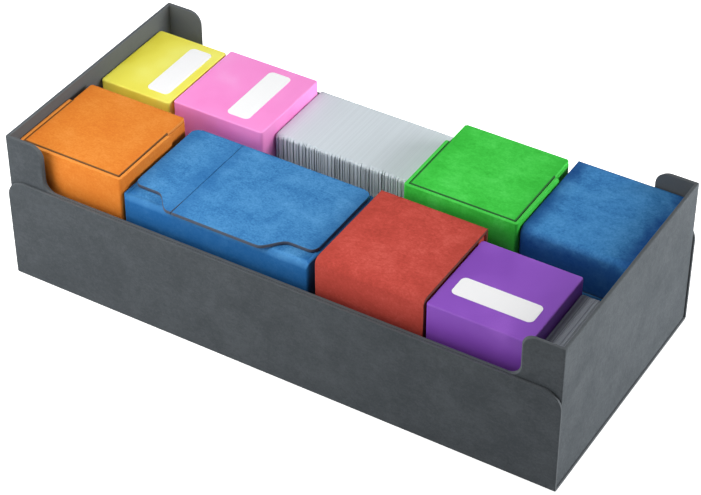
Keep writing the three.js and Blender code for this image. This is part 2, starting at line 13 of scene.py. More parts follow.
import bpy
import numpy as np
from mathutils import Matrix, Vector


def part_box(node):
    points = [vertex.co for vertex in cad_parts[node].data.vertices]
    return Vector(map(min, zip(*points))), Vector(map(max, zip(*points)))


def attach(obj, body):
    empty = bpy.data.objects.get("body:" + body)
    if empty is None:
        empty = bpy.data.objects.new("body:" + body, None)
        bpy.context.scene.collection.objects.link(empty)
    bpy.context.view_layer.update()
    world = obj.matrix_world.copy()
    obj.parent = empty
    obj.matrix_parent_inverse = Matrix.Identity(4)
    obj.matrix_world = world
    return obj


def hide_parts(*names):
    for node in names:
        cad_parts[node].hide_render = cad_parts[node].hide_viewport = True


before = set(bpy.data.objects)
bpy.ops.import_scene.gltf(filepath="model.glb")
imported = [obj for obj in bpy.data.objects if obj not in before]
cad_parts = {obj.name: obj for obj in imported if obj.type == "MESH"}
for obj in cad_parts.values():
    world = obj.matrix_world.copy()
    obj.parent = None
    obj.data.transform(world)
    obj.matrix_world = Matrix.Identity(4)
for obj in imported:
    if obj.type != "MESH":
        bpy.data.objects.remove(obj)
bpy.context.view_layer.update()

MM = 0.001
LOG = logging.getLogger("card_storage_box")

# A colour as a screen shows it from 0 to 255, and the same in linear light, opaque
Shown = tuple[int, int, int]
Colour = tuple[float, float, float, float]
Box = tuple[np.ndarray, np.ndarray]
Point = tuple[float, float, float]
Limits = tuple[float, float, float, float]
Length = np.ndarray | float

WHITE: Colour = (1.0, 1.0, 1.0, 1.0)
SQUARE = (0.0, 0.0, 0.0, 0.0)
CORNER_STEPS = 6


class Slot(Enum):
    """The record's material slots, named after the finishes of the pieces."""

    GREY = "wrap_grey"
    LINING = "lining_grey"
    ORANGE = "wrap_orange"
    GREEN = "wrap_green"
    RED = "wrap_red"
    BLUE = "wrap_blue"
    YELLOW = "plastic_yellow"
    PINK = "plastic_pink"
    PURPLE = "plastic_purple"
    LABEL = "label"
    CARDS = "cards"


class Axes(Enum):
    """Which of X, Y and Z a bent sheet's two path directions and its width run along."""

    PLAN = (0, 1, 2)
    SIDE = (1, 2, 0)
    TOP = (0, 2, 1)


def linear(shown: Shown) -> Colour:
    """Turns a colour as a screen shows it into the linear light that a shader takes.

    Args:
        shown: Red, green and blue from 0 to 255.

    Returns:
        The four linear channels, opaque.
    """
    shares = np.array(shown) / 255
    light = np.where(shares <= 0.04045, shares / 12.92, ((shares + 0.055) / 1.055) ** 2.4)
    return (float(light[0]), float(light[1]), float(light[2]), 1.0)


def node_box(node: str) -> Box:
    """Gives the lowest and highest corner of a solid of the frame as arrays."""
    low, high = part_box(node)
    return np.array(low), np.array(high)


# Shader graphs


class Signal:
    """A value on its way through a material, on which arithmetic adds Math nodes."""

    def __init__(self, graph: "Graph", socket: bpy.types.NodeSocket) -> None:
        """Wraps one output socket of a graph."""
        self.graph = graph
        self.socket = socket

    def __add__(self, other: "Value") -> "Signal":
        """Adds a value."""
        return self.graph.math("ADD", self, other)

    __radd__ = __add__

    def __mul__(self, other: "Value") -> "Signal":
        """Multiplies by a value."""
        return self.graph.math("MULTIPLY", self, other)

    __rmul__ = __mul__

    def __sub__(self, other: "Value") -> "Signal":
        """Takes a value away."""
        return self.graph.math("SUBTRACT", self, other)

    def __rsub__(self, other: "Value") -> "Signal":
        """Takes this value away from another."""
        return self.graph.math("SUBTRACT", other, self)


Value = Signal | float


class Graph:
    """The node tree of one material, filled through one generic node method."""

    def __init__(self, tree: bpy.types.NodeTree) -> None:
        """Empties a node tree and keeps it."""
        tree.nodes.clear()
        self.tree = tree

    @staticmethod
    def socket(sockets: Iterable[bpy.types.NodeSocket], name: str) -> bpy.types.NodeSocket:
        """Finds the socket of a name that is in use."""
        return next(s for s in sockets if s.name == name and s.enabled)

    def node(self, kind: str, settings: dict | None = None, inputs: dict | None = None) -> bpy.types.Node:
        """Adds a node, sets it up, then feeds its sockets.

        Args:
            kind: The node's type.
            settings: Its properties, or "stops" for a ramp's places and colours.
            inputs: Values or signals by socket name.

        Returns:
            The new node.
        """
        made = self.tree.nodes.new(kind)
        for name, setting in (settings or {}).items():
            if name == "stops":
                self._set_stops(made.color_ramp.elements, setting)
            else:
                setattr(made, name, setting)
        for name, value in (inputs or {}).items():
            socket = self.socket(made.inputs, name) if isinstance(name, str) else made.inputs[name]
            if isinstance(value, Signal):
                self.tree.links.new(value.socket, socket)
            else:
                socket.default_value = value
        return made

    @staticmethod
    def _set_stops(elements: bpy.types.ColorRampElements, stops: Sequence[tuple[float, Shown]]) -> None:
        """Gives a ramp its places and colours.

        Args:
            elements: The ramp's own stops.
            stops: The places and colours to set.
        """
        while len(elements) < len(stops):
            elements.new(1.0)
        for element, (place, shown) in zip(elements, stops):
            element.position = place
            element.color = linear(shown)

    def signal(self, kind: str, output: str, settings: dict | None = None,
               inputs: dict | None = None) -> Signal:
        """Adds a node and gives one of its outputs as a signal."""
        made = self.node(kind, settings, inputs)
        return Signal(self, self.socket(made.outputs, output))

    def math(self, operation: str, *values: Value) -> Signal:
        """Adds a Math node on one or two values."""
        made = self.node("ShaderNodeMath", {"operation": operation}, dict(enumerate(values)))
        return Signal(self, made.outputs[0])

    def ray(self, kind: str) -> Signal:
        """Gives one for rays of a kind and zero for the others."""
        return self.signal("ShaderNodeLightPath", f"Is {kind} Ray")

    def place(self) -> Signal:
        """Gives the point of the surface in the frame's own metres."""
        return self.signal("ShaderNodeTexCoord", "Object")

    def stretched(self, point: Signal, turn: tuple, scale: tuple) -> Signal:
        """Turns and stretches a point before a pattern reads it."""
        return self.signal("ShaderNodeMapping", "Vector", {"vector_type": "POINT"},
                           {"Vector": point, "Rotation": turn, "Scale": scale})

    def noise(self, point: Signal, grain: float, detail: float = 3.0, roughness: float = 0.5,
              distortion: float = 0.0) -> Signal:
        """Adds soft noise.

        Args:
            point: Where it is read.
            grain: The size of its spots in metres.
            detail: How many finer layers lie on it.
            roughness: How strong those layers are.
            distortion: How much it swirls.

        Returns:
            The noise, around one half.
        """
        return self.signal("ShaderNodeTexNoise", "Fac", {"noise_dimensions": "3D"},
                           {"Vector": point, "Scale": 1 / grain, "Detail": detail, "Roughness": roughness,
                            "Distortion": distortion})

    def ramp(self, value: Signal, stops: Sequence[tuple[float, Shown]],
             interpolation: str = "EASE") -> Signal:
        """Turns a value into a colour.

        Args:
            value: The value.
            stops: Values with their colours, in rising order.
            interpolation: How the ramp runs between them.

        Returns:
            The colour.
        """
        ramp = self.node("ShaderNodeValToRGB", {"stops": stops}, {"Fac": value})
        ramp.color_ramp.interpolation = interpolation
        return Signal(self, ramp.outputs["Color"])

    def mix(self, factor: Value, first: Signal | Shown, second: Shown) -> Signal:
        """Mixes a colour or a signal with a second colour."""
        start = first if isinstance(first, Signal) else linear(first)
        return self.signal("ShaderNodeMix", "Result", {"data_type": "RGBA"},
                           {"Factor": factor, "A": start, "B": linear(second)})

    def between(self, value: Value, low: float, high: float, to_low: float = 0.0,
                to_high: float = 1.0) -> Signal:
        """Maps a value smoothly from one range to another, held at its ends."""
        return self.signal("ShaderNodeMapRange", "Result", {"interpolation_type": "SMOOTHSTEP"},
                           {"Value": value, "From Min": low, "From Max": high,
                            "To Min": to_low, "To Max": to_high})

    def attribute(self, name: str) -> Signal:
        """Reads a number that the mesh carries at its points."""
        return self.signal("ShaderNodeAttribute", "Fac", {"attribute_name": name})

    def edge_distance(self, point: Signal, box: Box, reach: float) -> Signal:
        """Gives how far a point lies inside a box's ends and its front and back, whichever is less.

        Args:
            point: The point.
            box: The box.
            reach: How far below the top the front and back come to count in full.

        Returns:
            The distance in metres.
        """
        parts = self.node("ShaderNodeSeparateXYZ", None, {"Vector": point})
        inside = []
        for axis in (0, 1):
            half = float(box[1][axis] - box[0][axis]) / 2
            middle = float(box[1][axis] + box[0][axis]) / 2
            inside.append(half - self.math("ABSOLUTE", Signal(self, parts.outputs[axis]) - middle))
        rise = self.math("MAXIMUM", Signal(self, parts.outputs[2]) - (float(box[1][2]) - reach), 0.0)
        return self.math("MINIMUM", inside[0], inside[1] + rise)


@dataclass(frozen=True)
class Surface:
    """What a finish hands to the shader: links for what varies, numbers for what doesn't."""

    colour: Signal
    roughness: Signal
    height: Signal
    bump_distance: float
    bump_strength: float
    constants: dict = field(default_factory=dict)


class Finish:
    """A finish that builds one material for one piece."""

    def surface(self, graph: Graph, box: Box) -> Surface:
        """Works out colour, roughness and height.

        Args:
            graph: The material's graph.
            box: The piece's lowest and highest corner.

        Returns:
            What the shader takes.
        """
        raise NotImplementedError

    def material(self, name: str, box: Box) -> bpy.types.Material:
        """Builds the material of one piece.

        Args:
            name: The material's name.
            box: The piece's lowest and highest corner.

        Returns:
            The material, ready for a slot.
        """
        made = bpy.data.materials.new(name)
        made.use_nodes = True
        graph = Graph(made.node_tree)
        look = self.surface(graph, box)
        bump = graph.signal("ShaderNodeBump", "Normal", None,
                            {"Height": look.height, "Strength": look.bump_strength,
                             "Distance": look.bump_distance})
        shader = graph.signal("ShaderNodeBsdfPrincipled", "BSDF", None,
                              {"Base Color": look.colour, "Roughness": look.roughness, "Normal": bump,
                               **look.constants})
        graph.node("ShaderNodeOutputMaterial", None, {"Surface": shader})
        return made


@dataclass(frozen=True)
class Suede(Finish):
    """Brushed leatherette with a short nap: cloudy mottling, faint brush strokes, worn edges and painted
    shade along its margins.
    """

    base: Shown
    deep: Shown
    pale: Shown
    edge: Shown
    seed: float
    cloud: float
    contrast: float
    stroke: float
    edge_amount: float
    nap: float = 0.5
    # Painted shade along the margins: its strength, its reach below the top, its colour, width and sway.
    margin_shade: float = 0.0
    margin_shade_reach: float = 12 * MM
    margin_shade_colour: Shown | None = None
    margin_width: float = 16 * MM
    margin_sway: float = 18 * MM
    stroke_grain: float = 5 * MM
    nap_grain: float = 1.5 * MM
    fine_grain: float = 0.42 * MM
    depth: float = 0.16 * MM
    cut: Shown = (80, 75, 70)
    cut_amount: float = 0.9
    inside_amount: float = 0.0

    def surface(self, graph: Graph, box: Box) -> Surface:
        """Lays clouds, strokes and nap over each other, darkens margins with painted shade, wears edges and
        bares cut ones.

        Args:
            graph: The material's graph.
            box: The piece's lowest and highest corner.

        Returns:
            What the shader takes.
        """
        point = graph.signal("ShaderNodeVectorMath", "Vector", {"operation": "ADD"},
                             {0: graph.place(), 1: (self.seed, 0.7 * self.seed, 0.3 * self.seed)})
        clouds = graph.noise(point, self.cloud, 5.0, 0.6, 0.5)
        brushed = graph.stretched(point, (0.0, 0.0, 0.5), (1.0, 1.7, 1.4))
        strokes = graph.noise(brushed, self.stroke_grain, 4.0, 0.62, 0.8)
        nap = graph.noise(point, self.nap_grain, 3.0, 0.7)
        cloth = clouds + (strokes - 0.5) * self.stroke + (nap - 0.5) * self.nap
        cloth = (cloth - 0.5) * self.contrast + 0.5
        colour = graph.ramp(cloth, ((0.24, self.deep), (0.5, self.base), (0.78, self.pale)), "LINEAR")
        # Painted shade: darker towards the piece's ends, and towards its front and back below the top.
        if self.margin_shade > 0:
            away = graph.edge_distance(graph.place(), box, self.margin_shade_reach)
            away = away + (clouds - 0.5) * self.margin_sway
            margin_shade_share = graph.between(away, 0.0, self.margin_width, self.margin_shade, 0.0)
            colour = graph.mix(margin_shade_share, colour, self.margin_shade_colour or self.deep)
        worn = graph.between(graph.attribute("edge"), 0.25, 0.95, 0.0, self.edge_amount)
        colour = graph.mix(worn, colour, self.edge)
        bare = graph.between(graph.attribute("cut"), 0.1, 0.5, 0.0, self.cut_amount)
        colour = graph.mix(bare, colour, self.cut)
        if self.inside_amount > 0:
            inside = graph.between(graph.attribute("inside"), 0.6, 0.95, 0.0, self.inside_amount)
            colour = graph.mix(inside, colour, self.edge)
        height = graph.noise(point, self.fine_grain, 3.0, 0.65) + strokes * 0.5
        return Surface(colour, 0.92 - clouds * 0.16, height, self.depth, 0.35,
                       {"Specular IOR Level": 0.22, "Sheen Weight": 0.15, "Sheen Roughness": 0.45,
                        "Sheen Tint": linear(self.pale)})


@dataclass(frozen=True)
class Plastic(Finish):
    """Matt moulded plastic with a fine spark-eroded grain and slightly bright edges."""

    base: Shown
    pale: Shown
    deep: Shown
    roughness: float = 0.46
    cloud: float = 45 * MM
    grain: float = 0.35 * MM
    depth: float = 0.03 * MM

    def surface(self, graph: Graph, box: Box) -> Surface:
        """Lays a fine grain over a barely uneven colour.

        Args:
            graph: The material's graph.
            box: The piece's lowest and highest corner.

        Returns:
            What the shader takes.
        """
        point = graph.place()
        slow = graph.noise(point, self.cloud, 2.0, 0.5)
        fine = graph.noise(point, self.grain, 2.0, 0.6)
        stops = ((0.3, self.deep), (0.5, self.base), (0.75, self.pale))
        colour = graph.ramp(slow + (fine - 0.5) * 0.25, stops)
        worn = graph.between(graph.attribute("edge"), 0.2, 1.0, 0.0, 0.35)
        colour = graph.mix(worn, colour, self.pale)
        rough = self.roughness + (fine - 0.5) * 0.14
        return Surface(colour, rough, fine, self.depth, 0.3, {"Specular IOR Level": 0.35})


@dataclass(frozen=True)
class CardPaper(Finish):
    """Cards in matt sleeves, each with its own tone and painted shade where its edge lies back from the
    others.
    """

    face: Shown
    dim: Shown
    recess_shade: Shown
    grain: float = 1.4 * MM
    depth: float = 0.03 * MM

    def surface(self, graph: Graph, box: Box) -> Surface:
        """Mixes each card's own tone and a painted shade down the edges of cards that stand back.

        Args:
            graph: The material's graph.
            box: The piece's lowest and highest corner.

        Returns:
            What the shader takes.
        """
        colour = graph.mix(graph.attribute("tone"), self.face, self.dim)
        # Painted shade: darkens the front edges of cards that stand back.
        colour = graph.mix(graph.attribute("shade"), colour, self.recess_shade)
        drawn = graph.stretched(graph.place(), (0.0, 0.0, 0.0), (6.0, 1.0, 1.0))
        fibre = graph.noise(drawn, self.grain, 2.0, 0.6)
        return Surface(colour, 0.38 + fibre * 0.2, fibre, self.depth, 0.25, {"Specular IOR Level": 0.4})


@dataclass(frozen=True)
class Paper(Finish):
    """A bare white writing label with a faint tooth."""

    base: Shown
    shade: Shown
    grain: float = 0.5 * MM
    depth: float = 0.02 * MM

    def surface(self, graph: Graph, box: Box) -> Surface:
        """Lays a fine paper tooth over white.

        Args:
            graph: The material's graph.
            box: The piece's lowest and highest corner.

        Returns:
            What the shader takes.
        """
        tooth = graph.noise(graph.place(), self.grain, 4.0, 0.6)
        colour = graph.ramp(tooth, ((0.25, self.shade), (0.6, self.base)))
        return Surface(colour, 0.5 + tooth * 0.15, tooth, self.depth, 0.2, {"Specular IOR Level": 0.3})


@dataclass(frozen=True)
class Felt(Finish):
    """A thin fibre lining."""

    base: Shown
    deep: Shown
    grain: float = 1.2 * MM
    depth: float = 0.15 * MM

    def surface(self, graph: Graph, box: Box) -> Surface:
        """Tangles two stretched noises into short fibres.

        Args:
            graph: The material's graph.
            box: The piece's lowest and highest corner.

        Returns:
            What the shader takes.
        """
        ways = ((0.6, (1.0, 5.0, 1.0)), (-0.9, (5.0, 1.0, 1.0)))
        one, two = (graph.noise(graph.stretched(graph.place(), (0.0, 0.0, turn), scale), self.grain,
                                3.0, 0.6, 1.0) for turn, scale in ways)
        tangle = (one + two) * 0.5
        colour = graph.ramp(tangle, ((0.3, self.deep), (0.7, self.base)))
        return Surface(colour, 0.9 + tangle * 0.08, tangle, self.depth, 0.5,
                       {"Specular IOR Level": 0.15, "Sheen Weight": 0.2, "Sheen Roughness": 0.6})


@dataclass(frozen=True)
class Nickel(Finish):
    """A nickel-plated magnet with faint tumbling marks."""

    base: Shown
    deep: Shown
    cloud: float = 3 * MM
    grain: float = 1.5 * MM
    depth: float = 0.02 * MM

    def surface(self, graph: Graph, box: Box) -> Surface:
        """Clouds the plating and scatters fine marks.

        Args:
            graph: The material's graph.
            box: The piece's lowest and highest corner.

        Returns:
            What the shader takes.
        """
        point = graph.place()
        cloud = graph.noise(point, self.cloud, 3.0, 0.6, 0.5)
        marks = graph.noise(graph.stretched(point, (0.4, 0.2, 0.3), (1.0, 9.0, 9.0)), self.grain, 2.0, 0.5)
        colour = graph.ramp(cloud, ((0.3, self.deep), (0.7, self.base)))
        return Surface(colour, 0.22 + marks * 0.16, marks, self.depth, 0.2, {"Metallic": 1.0})


# Surfaces


@dataclass
class Mesh:
    """Points, faces and the numbers at the points of one closed surface."""

    points: np.ndarray
    faces: list[np.ndarray]
    numbers: dict[str, np.ndarray]

    @staticmethod
    def loft(grid: np.ndarray, edges: np.ndarray) -> "Mesh":
        """Joins closed rounds of points into one surface, closed at both ends by a flat face.

        Args:
            grid: Rounds by points by three.
            edges: The "edge" number of each round.

        Returns:
            The surface.
        """
        rounds, count = grid.shape[:2]
        numbers = np.arange(rounds * count).reshape(rounds, count)
        after = np.roll(numbers, -1, axis=1)
        quads = np.stack([numbers[:-1], after[:-1], after[1:], numbers[1:]], axis=-1).reshape(-1, 4)
        return Mesh(grid.reshape(-1, 3), [quads, numbers[:1, ::-1], numbers[-1:]],
                    {"edge": np.repeat(edges, count)})

    def cut_where(self, chosen: np.ndarray | bool, number: str = "edge") -> None:
        """Sets "cut" to the chosen points' narrow "edge" or wide "rim" number, and to zero elsewhere."""
        self.numbers["cut"] = np.where(chosen, self.numbers[number], 0.0)

    def turn_outward(self) -> None:
        """Turns every face over when the volume that they enclose comes out negative."""
        volume = 0.0
        for group in self.faces:
            corner = self.points[group[:, 0]]
            for k in range(1, group.shape[1] - 1):
                second, third = self.points[group[:, k]], self.points[group[:, k + 1]]
                volume += float(np.einsum("ij,ij->", corner, np.cross(second, third)))
        if volume < 0:
            self.faces = [group[:, ::-1] for group in self.faces]

    def to_object(self, name: str, smooth: bool) -> bpy.types.Object:
        """Puts the surface into a new object at the origin.

        Args:
            name: The object's name.
            smooth: Whether its faces are shaded smooth.

        Returns:
            The object, linked to the scene.
        """
        self.turn_outward()
        data = bpy.data.meshes.new(name)
        data.from_pydata(self.points, [], [row for group in self.faces for row in group.tolist()])
        data.shade_smooth() if smooth else data.shade_flat()
        for key, values in self.numbers.items():
            data.attributes.new(key, "FLOAT", "POINT").data.foreach_set("value", values.astype(np.float32))
        data.update()
        made = bpy.data.objects.new(name, data)
        bpy.context.scene.collection.objects.link(made)
        return made


def arc(centre: tuple[float, float], radius: float, start: float, end: float, steps: int) -> np.ndarray:
    """Gives points on a circle: centre plus radius times cosine and sine of even steps in degrees."""
    angles = np.radians(np.linspace(start, end, steps + 1))
    return np.stack([centre[0] + radius * np.cos(angles), centre[1] + radius * np.sin(angles)], axis=1)


def level_line(places: np.ndarray, height: float) -> np.ndarray:
    """Gives points at some places along a path, all at one height."""
    return np.stack([places, np.full(len(places), height)], axis=1)


def inward(line: np.ndarray, period: float = 0.0) -> np.ndarray:
    """Gives the way to move each point of a closed line so that it moves one unit to its left.

    At each point the left normals of its two neighbours are added and divided by one plus their dot
    product, which keeps both neighbouring segments at the same distance from their old place.

    Args:
        line: One row per point.
        period: What is added to the first coordinate on the way round, for an unrolled ring.

    Returns:
        One vector per point.
    """
    ahead = np.roll(line, -1, axis=0)
    ahead[-1, 0] += period
    way = ahead - line
    way /= np.linalg.norm(way, axis=1, keepdims=True)
    left = np.stack([-way[:, 1], way[:, 0]], axis=1)
    before = np.roll(left, 1, axis=0)
    return (left + before) / (1 + np.sum(left * before, axis=1, keepdims=True))


def round_plan(box: Limits, radius: float, steps: int = CORNER_STEPS) -> np.ndarray:
    """Gives a rectangle with rounded corners, anticlockwise from its lower left corner.

    Args:
        box: Its left, front, right and back.
        radius: The corners' radius.
        steps: The steps round each corner.

    Returns:
        One row per point.
    """
    left, front, right, back = box
    corners = (((left + radius, front + radius), 180.0), ((right - radius, front + radius), 270.0),
               ((right - radius, back - radius), 0.0), ((left + radius, back - radius), 90.0))
    return np.concatenate([arc(centre, radius, start, start + 90, steps) for centre, start in corners])


def plate_lines(box: Limits, radii: Sequence[float], steps: int = CORNER_STEPS,
                fill: int = 4) -> tuple[np.ndarray, np.ndarray]:
    """Gives the low and high line of a rectangle whose corners may be rounded.

    Args:
        box: Its left, bottom, right and top.
        radii: The corners' radii from the lower left, anticlockwise. A zero keeps a corner square.
        steps: The steps round each corner.
        fill: The steps along the straight parts.

    Returns:
        The low and the high line, point for point at matching places.
    """
    left, bottom, right, top = box
    a, b, c, d = radii
    near, far = max(a, d), max(b, c)
    bend = 1 - np.cos(np.radians(np.linspace(0, 90, steps + 1)))
    starts = left + near * bend if near > 0 else np.array([left])
    ends = (right - far * bend)[::-1] if far > 0 else np.array([right])
    along = np.concatenate([starts, np.linspace(starts[-1], ends[0], fill + 1)[1:-1], ends])

    def line(first: float, second: float, level: float, sign: float) -> np.ndarray:
        """Gives one line: the level plus what each corner's circle lifts it by.

        Args:
            first: The left corner's radius.
            second: The right corner's radius.
            level: The line's height away from the corners.
            sign: Which way the corners bend it.

        Returns:
            One row per point.
        """
        lift = np.zeros_like(along)
        for radius, edge_place, side in ((first, left, 1.0), (second, right, -1.0)):
            if radius > 0:
                reach = np.clip(1 - side * (along - edge_place) / radius, 0.0, 1.0)
                lift = lift + radius * (1 - np.sqrt(1 - reach ** 2))
        return np.stack([along, level + sign * lift], axis=1)

    return line(a, b, bottom, 1.0), line(d, c, top, -1.0)


@dataclass(frozen=True)
class Path:
    """A bent sheet's way: matching points on its outer and its inner face, by distance along it."""

    stations: np.ndarray
    outer: np.ndarray
    inner: np.ndarray

    @staticmethod
    def straight(start: float, end: float, face: float, thickness: float) -> "Path":
        """Gives a straight way between two places, with its inner face the thickness below its face."""
        ends = np.array([(start, face), (end, face)], float)
        return Path(ends[:, 0], ends, ends - np.array([0.0, thickness]))

    @staticmethod
    def through(outer: np.ndarray, inner: np.ndarray) -> "Path":
        """Gives a way through matching points, measured along the outer ones."""
        steps = np.linalg.norm(np.diff(outer, axis=0), axis=1)
        return Path(np.concatenate([[0.0], np.cumsum(steps)]), outer, inner)

    @staticmethod
    def channel(box: Limits, radii: tuple[float, float], thickness: float) -> "Path":
        """Gives a way down the left of a box, along its bottom and up its right, with rounded corners.

        Args:
            box: Its left, bottom, right and top, on the outer face.
            radii: The corners' radius on the outer and on the inner face.
            thickness: How far inside the inner face lies.

        Returns:
            The path.
        """
        left, bottom, right, top = box

        def way(radius: float, inset: float) -> np.ndarray:
            """Gives one face's points, the inset inside the outer face."""
            reach = inset + radius
            return np.concatenate([[[left + inset, top]],
                                   arc((left + reach, bottom + reach), radius, 180, 270, CORNER_STEPS),
                                   arc((right - reach, bottom + reach), radius, 270, 360, CORNER_STEPS),
                                   [[right - inset, top]]])

        return Path.through(way(radii[0], 0.0), way(radii[1], thickness))

    @property
    def length(self) -> float:
        """The distance along the outer face."""
        return float(self.stations[-1] - self.stations[0])

    def with_bends(self, lines: Iterable[np.ndarray]) -> list[np.ndarray]:
        """Gives a plate's lines a point at each of the path's bends as well.

        Args:
            lines: The low and the high line.

        Returns:
            Both lines, with points at the same places along the path.
        """
        low, high = lines
        along = np.unique(np.concatenate([low[:, 0], self.stations[1:-1]]))
        return [np.stack([along, np.interp(along, *line.T)], axis=1) for line in (low, high)]

    def at(self, along: np.ndarray, share: np.ndarray) -> np.ndarray:
        """Gives points between the faces: the outer point plus its way to the inner one times the share.

        Args:
            along: How far along the path each point lies.
            share: How deep it lies, from zero on the outer face to one on the inner face.

        Returns:
            One row per point.
        """
        outer, inner = (np.stack([np.interp(along, self.stations, face[:, k]) for k in (0, 1)], axis=1)
                        for face in (self.outer, self.inner))
        return outer + (inner - outer) * share[:, None]


@dataclass(frozen=True)
class Sheet:
    """A board of even thickness with rounded edges, flat or bent along a path.

    Its outline lies between a low and a high line with the same number of points, given as distance
    along the path and height across it. The faces are ruled between the two lines. Round the outline a
    quarter circle is carried from the outer face to the rim and from the rim to the inner face.
    """

    low: np.ndarray
    high: np.ndarray
    path: Path
    axes: Axes
    thickness: float
    edge: float
    rows: int
    ring: bool = False
    edge_steps: int = 4
    support: float = 0.3 * MM

    @staticmethod
    def board(box: Limits, face: float, thickness: float, axes: Axes, edge: float, rows: int = 3,
              radii: Sequence[float] = SQUARE, steps: int = CORNER_STEPS, fill: int = 4,
              edge_steps: int = 4) -> "Sheet":
        """Gives a flat board.

        Args:
            box: Its left, bottom, right and top.
            face: Where its outer face lies.
            thickness: Its thickness.
            axes: Which way it lies.
            edge: The radius of its edges.
            rows: The steps across it.
            radii: The radii of its corners from the lower left, anticlockwise.
            steps: The steps round each corner.
            fill: The steps along its straight parts.
            edge_steps: The steps round each edge.

        Returns:
            The sheet.
        """
        path = Path.straight(box[0], box[2], face, thickness)
        return Sheet(*plate_lines(box, radii, steps, fill), path, axes, thickness, edge, rows,
                     edge_steps=edge_steps)

    @staticmethod
    def in_place_of(node: str, axes: Axes, edge: float, **options: int | Sequence[float]) -> "Sheet":
        """Gives a flat board in place of a solid.

        Args:
            node: The solid.
            axes: Which way it lies.
            edge: The radius of its edges.
            options: What else a board takes.

        Returns:
            The sheet.
        """
        low, high = node_box(node)
        along, deep, across = axes.value
        box = (low[along], low[across], high[along], high[across])
        return Sheet.board(box, high[deep], float(high[deep] - low[deep]), axes, edge, **options)

    def _section(self) -> np.ndarray:
        """Gives the rim's section: two quarter circles, with a row beyond each for the face.

        Returns:
            Rows of inset and depth, from the outer to the inner face.
        """
        turn = arc((0.0, 0.0), self.edge, 0.0, 90.0, self.edge_steps)
        first = np.stack([self.edge - turn[:, 1], self.edge - turn[:, 0]], axis=1)
        second = np.stack([first[::-1, 0], self.thickness - first[::-1, 1]], axis=1)
        if self.thickness - 2 * self.edge < 0.001 * MM:
            second = second[1:]
        deep = self.edge + self.support
        return np.concatenate([[[deep, 0.0]], first, second, [[deep, self.thickness]]])

    def _lines(self) -> list[np.ndarray]:
        """Gives the lines that the rim runs round, with the sheet on their left.

        Returns:
            The closed outline, or the two lines of a ring.
        """
        if self.ring:
            return [self.low, self.high]
        shares = np.linspace(0, 1, self.rows + 1)[1:-1, None]
        right = self.low[-1] + (self.high[-1] - self.low[-1]) * shares
        left = self.high[0] + (self.low[0] - self.high[0]) * shares
        return [np.concatenate([self.low, right, self.high[::-1], left])]

    def _face(self, numbers: list[np.ndarray],
              lines: list[np.ndarray]) -> tuple[np.ndarray, slice, np.ndarray]:
        """Gives the grid of point numbers of one face.

        Args:
            numbers: The numbers of the points round it, line by line.
            lines: The places of those points.

        Returns:
            The grid with only its border filled, the columns inside it, and the points that belong there.
        """
        rows, count = self.rows, len(self.low)
        grid = np.zeros((rows + 1, count), int)
        if self.ring:
            inner, (low, high) = slice(None), lines
            grid[0], grid[-1] = numbers
        else:
            line, loop, turn = lines[0], numbers[0], count + rows - 1
            inner, low, high = slice(1, -1), line[:count], line[turn:turn + count][::-1]
            grid[0], grid[-1] = loop[:count], loop[turn:turn + count][::-1]
            grid[:, -1] = loop[count - 1:count + rows]
            grid[1:-1, 0] = loop[turn + count:][::-1]
        shares = np.linspace(0, 1, rows + 1)[1:-1, None, None]
        return grid, inner, (low + (high - low) * shares)[:, inner].reshape(-1, 2)

    def mesh(self) -> Mesh:
        """Builds the closed surface.

        The inset lines are the outline plus its inward way times the inset. The faces' inner points are
        the low inset line plus even shares of the way to the high one.

        Returns:
            The surface, with its "edge" number rising from zero on the faces to one on the rim.
        """
        lines = self._lines()
        period = self.path.length if self.ring else 0.0
        ways = [inward(line, period) for line in lines]
        if self.ring:
            ways[1] = -ways[1]
        points, marks, drawn, rounds, quads = [], [], [], [], []

        def add(line: np.ndarray, *mark: float) -> np.ndarray:
            """Adds points.

            Args:
                line: The points.
                mark: Their depth and their "edge" and "rim" numbers.

            Returns:
                Their numbers in the mesh.
            """
            first = sum(map(len, points))
            points.append(line)
            marks.append(np.full((len(line), 3), mark))
            return first + np.arange(len(line))

        for inset, depth in self._section():
            drawn.append([line + way * inset for line, way in zip(lines, ways)])
            edge, rim = 1 - min(1.0, inset / self.edge), inset < self.edge + 0.5 * self.support
            rounds.append([add(line, depth, edge, rim) for line in drawn[-1]])
        for one, two in zip(rounds, rounds[1:]):
            for k, (near, far) in enumerate(zip(one, two)):
                across = np.stack([near, np.roll(near, -1), np.roll(far, -1), far], axis=1)
                quads.append(across if k == 0 else across[:, ::-1])
        for level, depth in ((0, 0.0), (-1, self.thickness)):
            grid, inner, extra = self._face(rounds[level], drawn[level])
            grid[1:-1, inner] = add(extra, depth, 0.0, 0.0).reshape(self.rows - 1, -1)
            after, here = (np.roll(grid, -1, axis=1), grid) if self.ring else (grid[:, 1:], grid[:, :-1])
            faces = np.stack([here[:-1], after[:-1], after[1:], here[1:]], axis=-1).reshape(-1, 4)
            quads.append(faces[:, ::-1] if level == 0 else faces)
        flat = np.concatenate(points)
        depths, edges, rims = np.concatenate(marks).T
        if self.ring:
            flat[:, 0] = np.mod(flat[:, 0], period)
        placed = np.empty((len(flat), 3))
        bent = self.path.at(flat[:, 0], depths / self.thickness)
        placed[:, list(self.axes.value)] = np.column_stack([bent, flat[:, 1]])
        return Mesh(placed, [np.concatenate(quads)],
                    {"edge": edges, "rim": rims, "inside": depths / self.thickness})


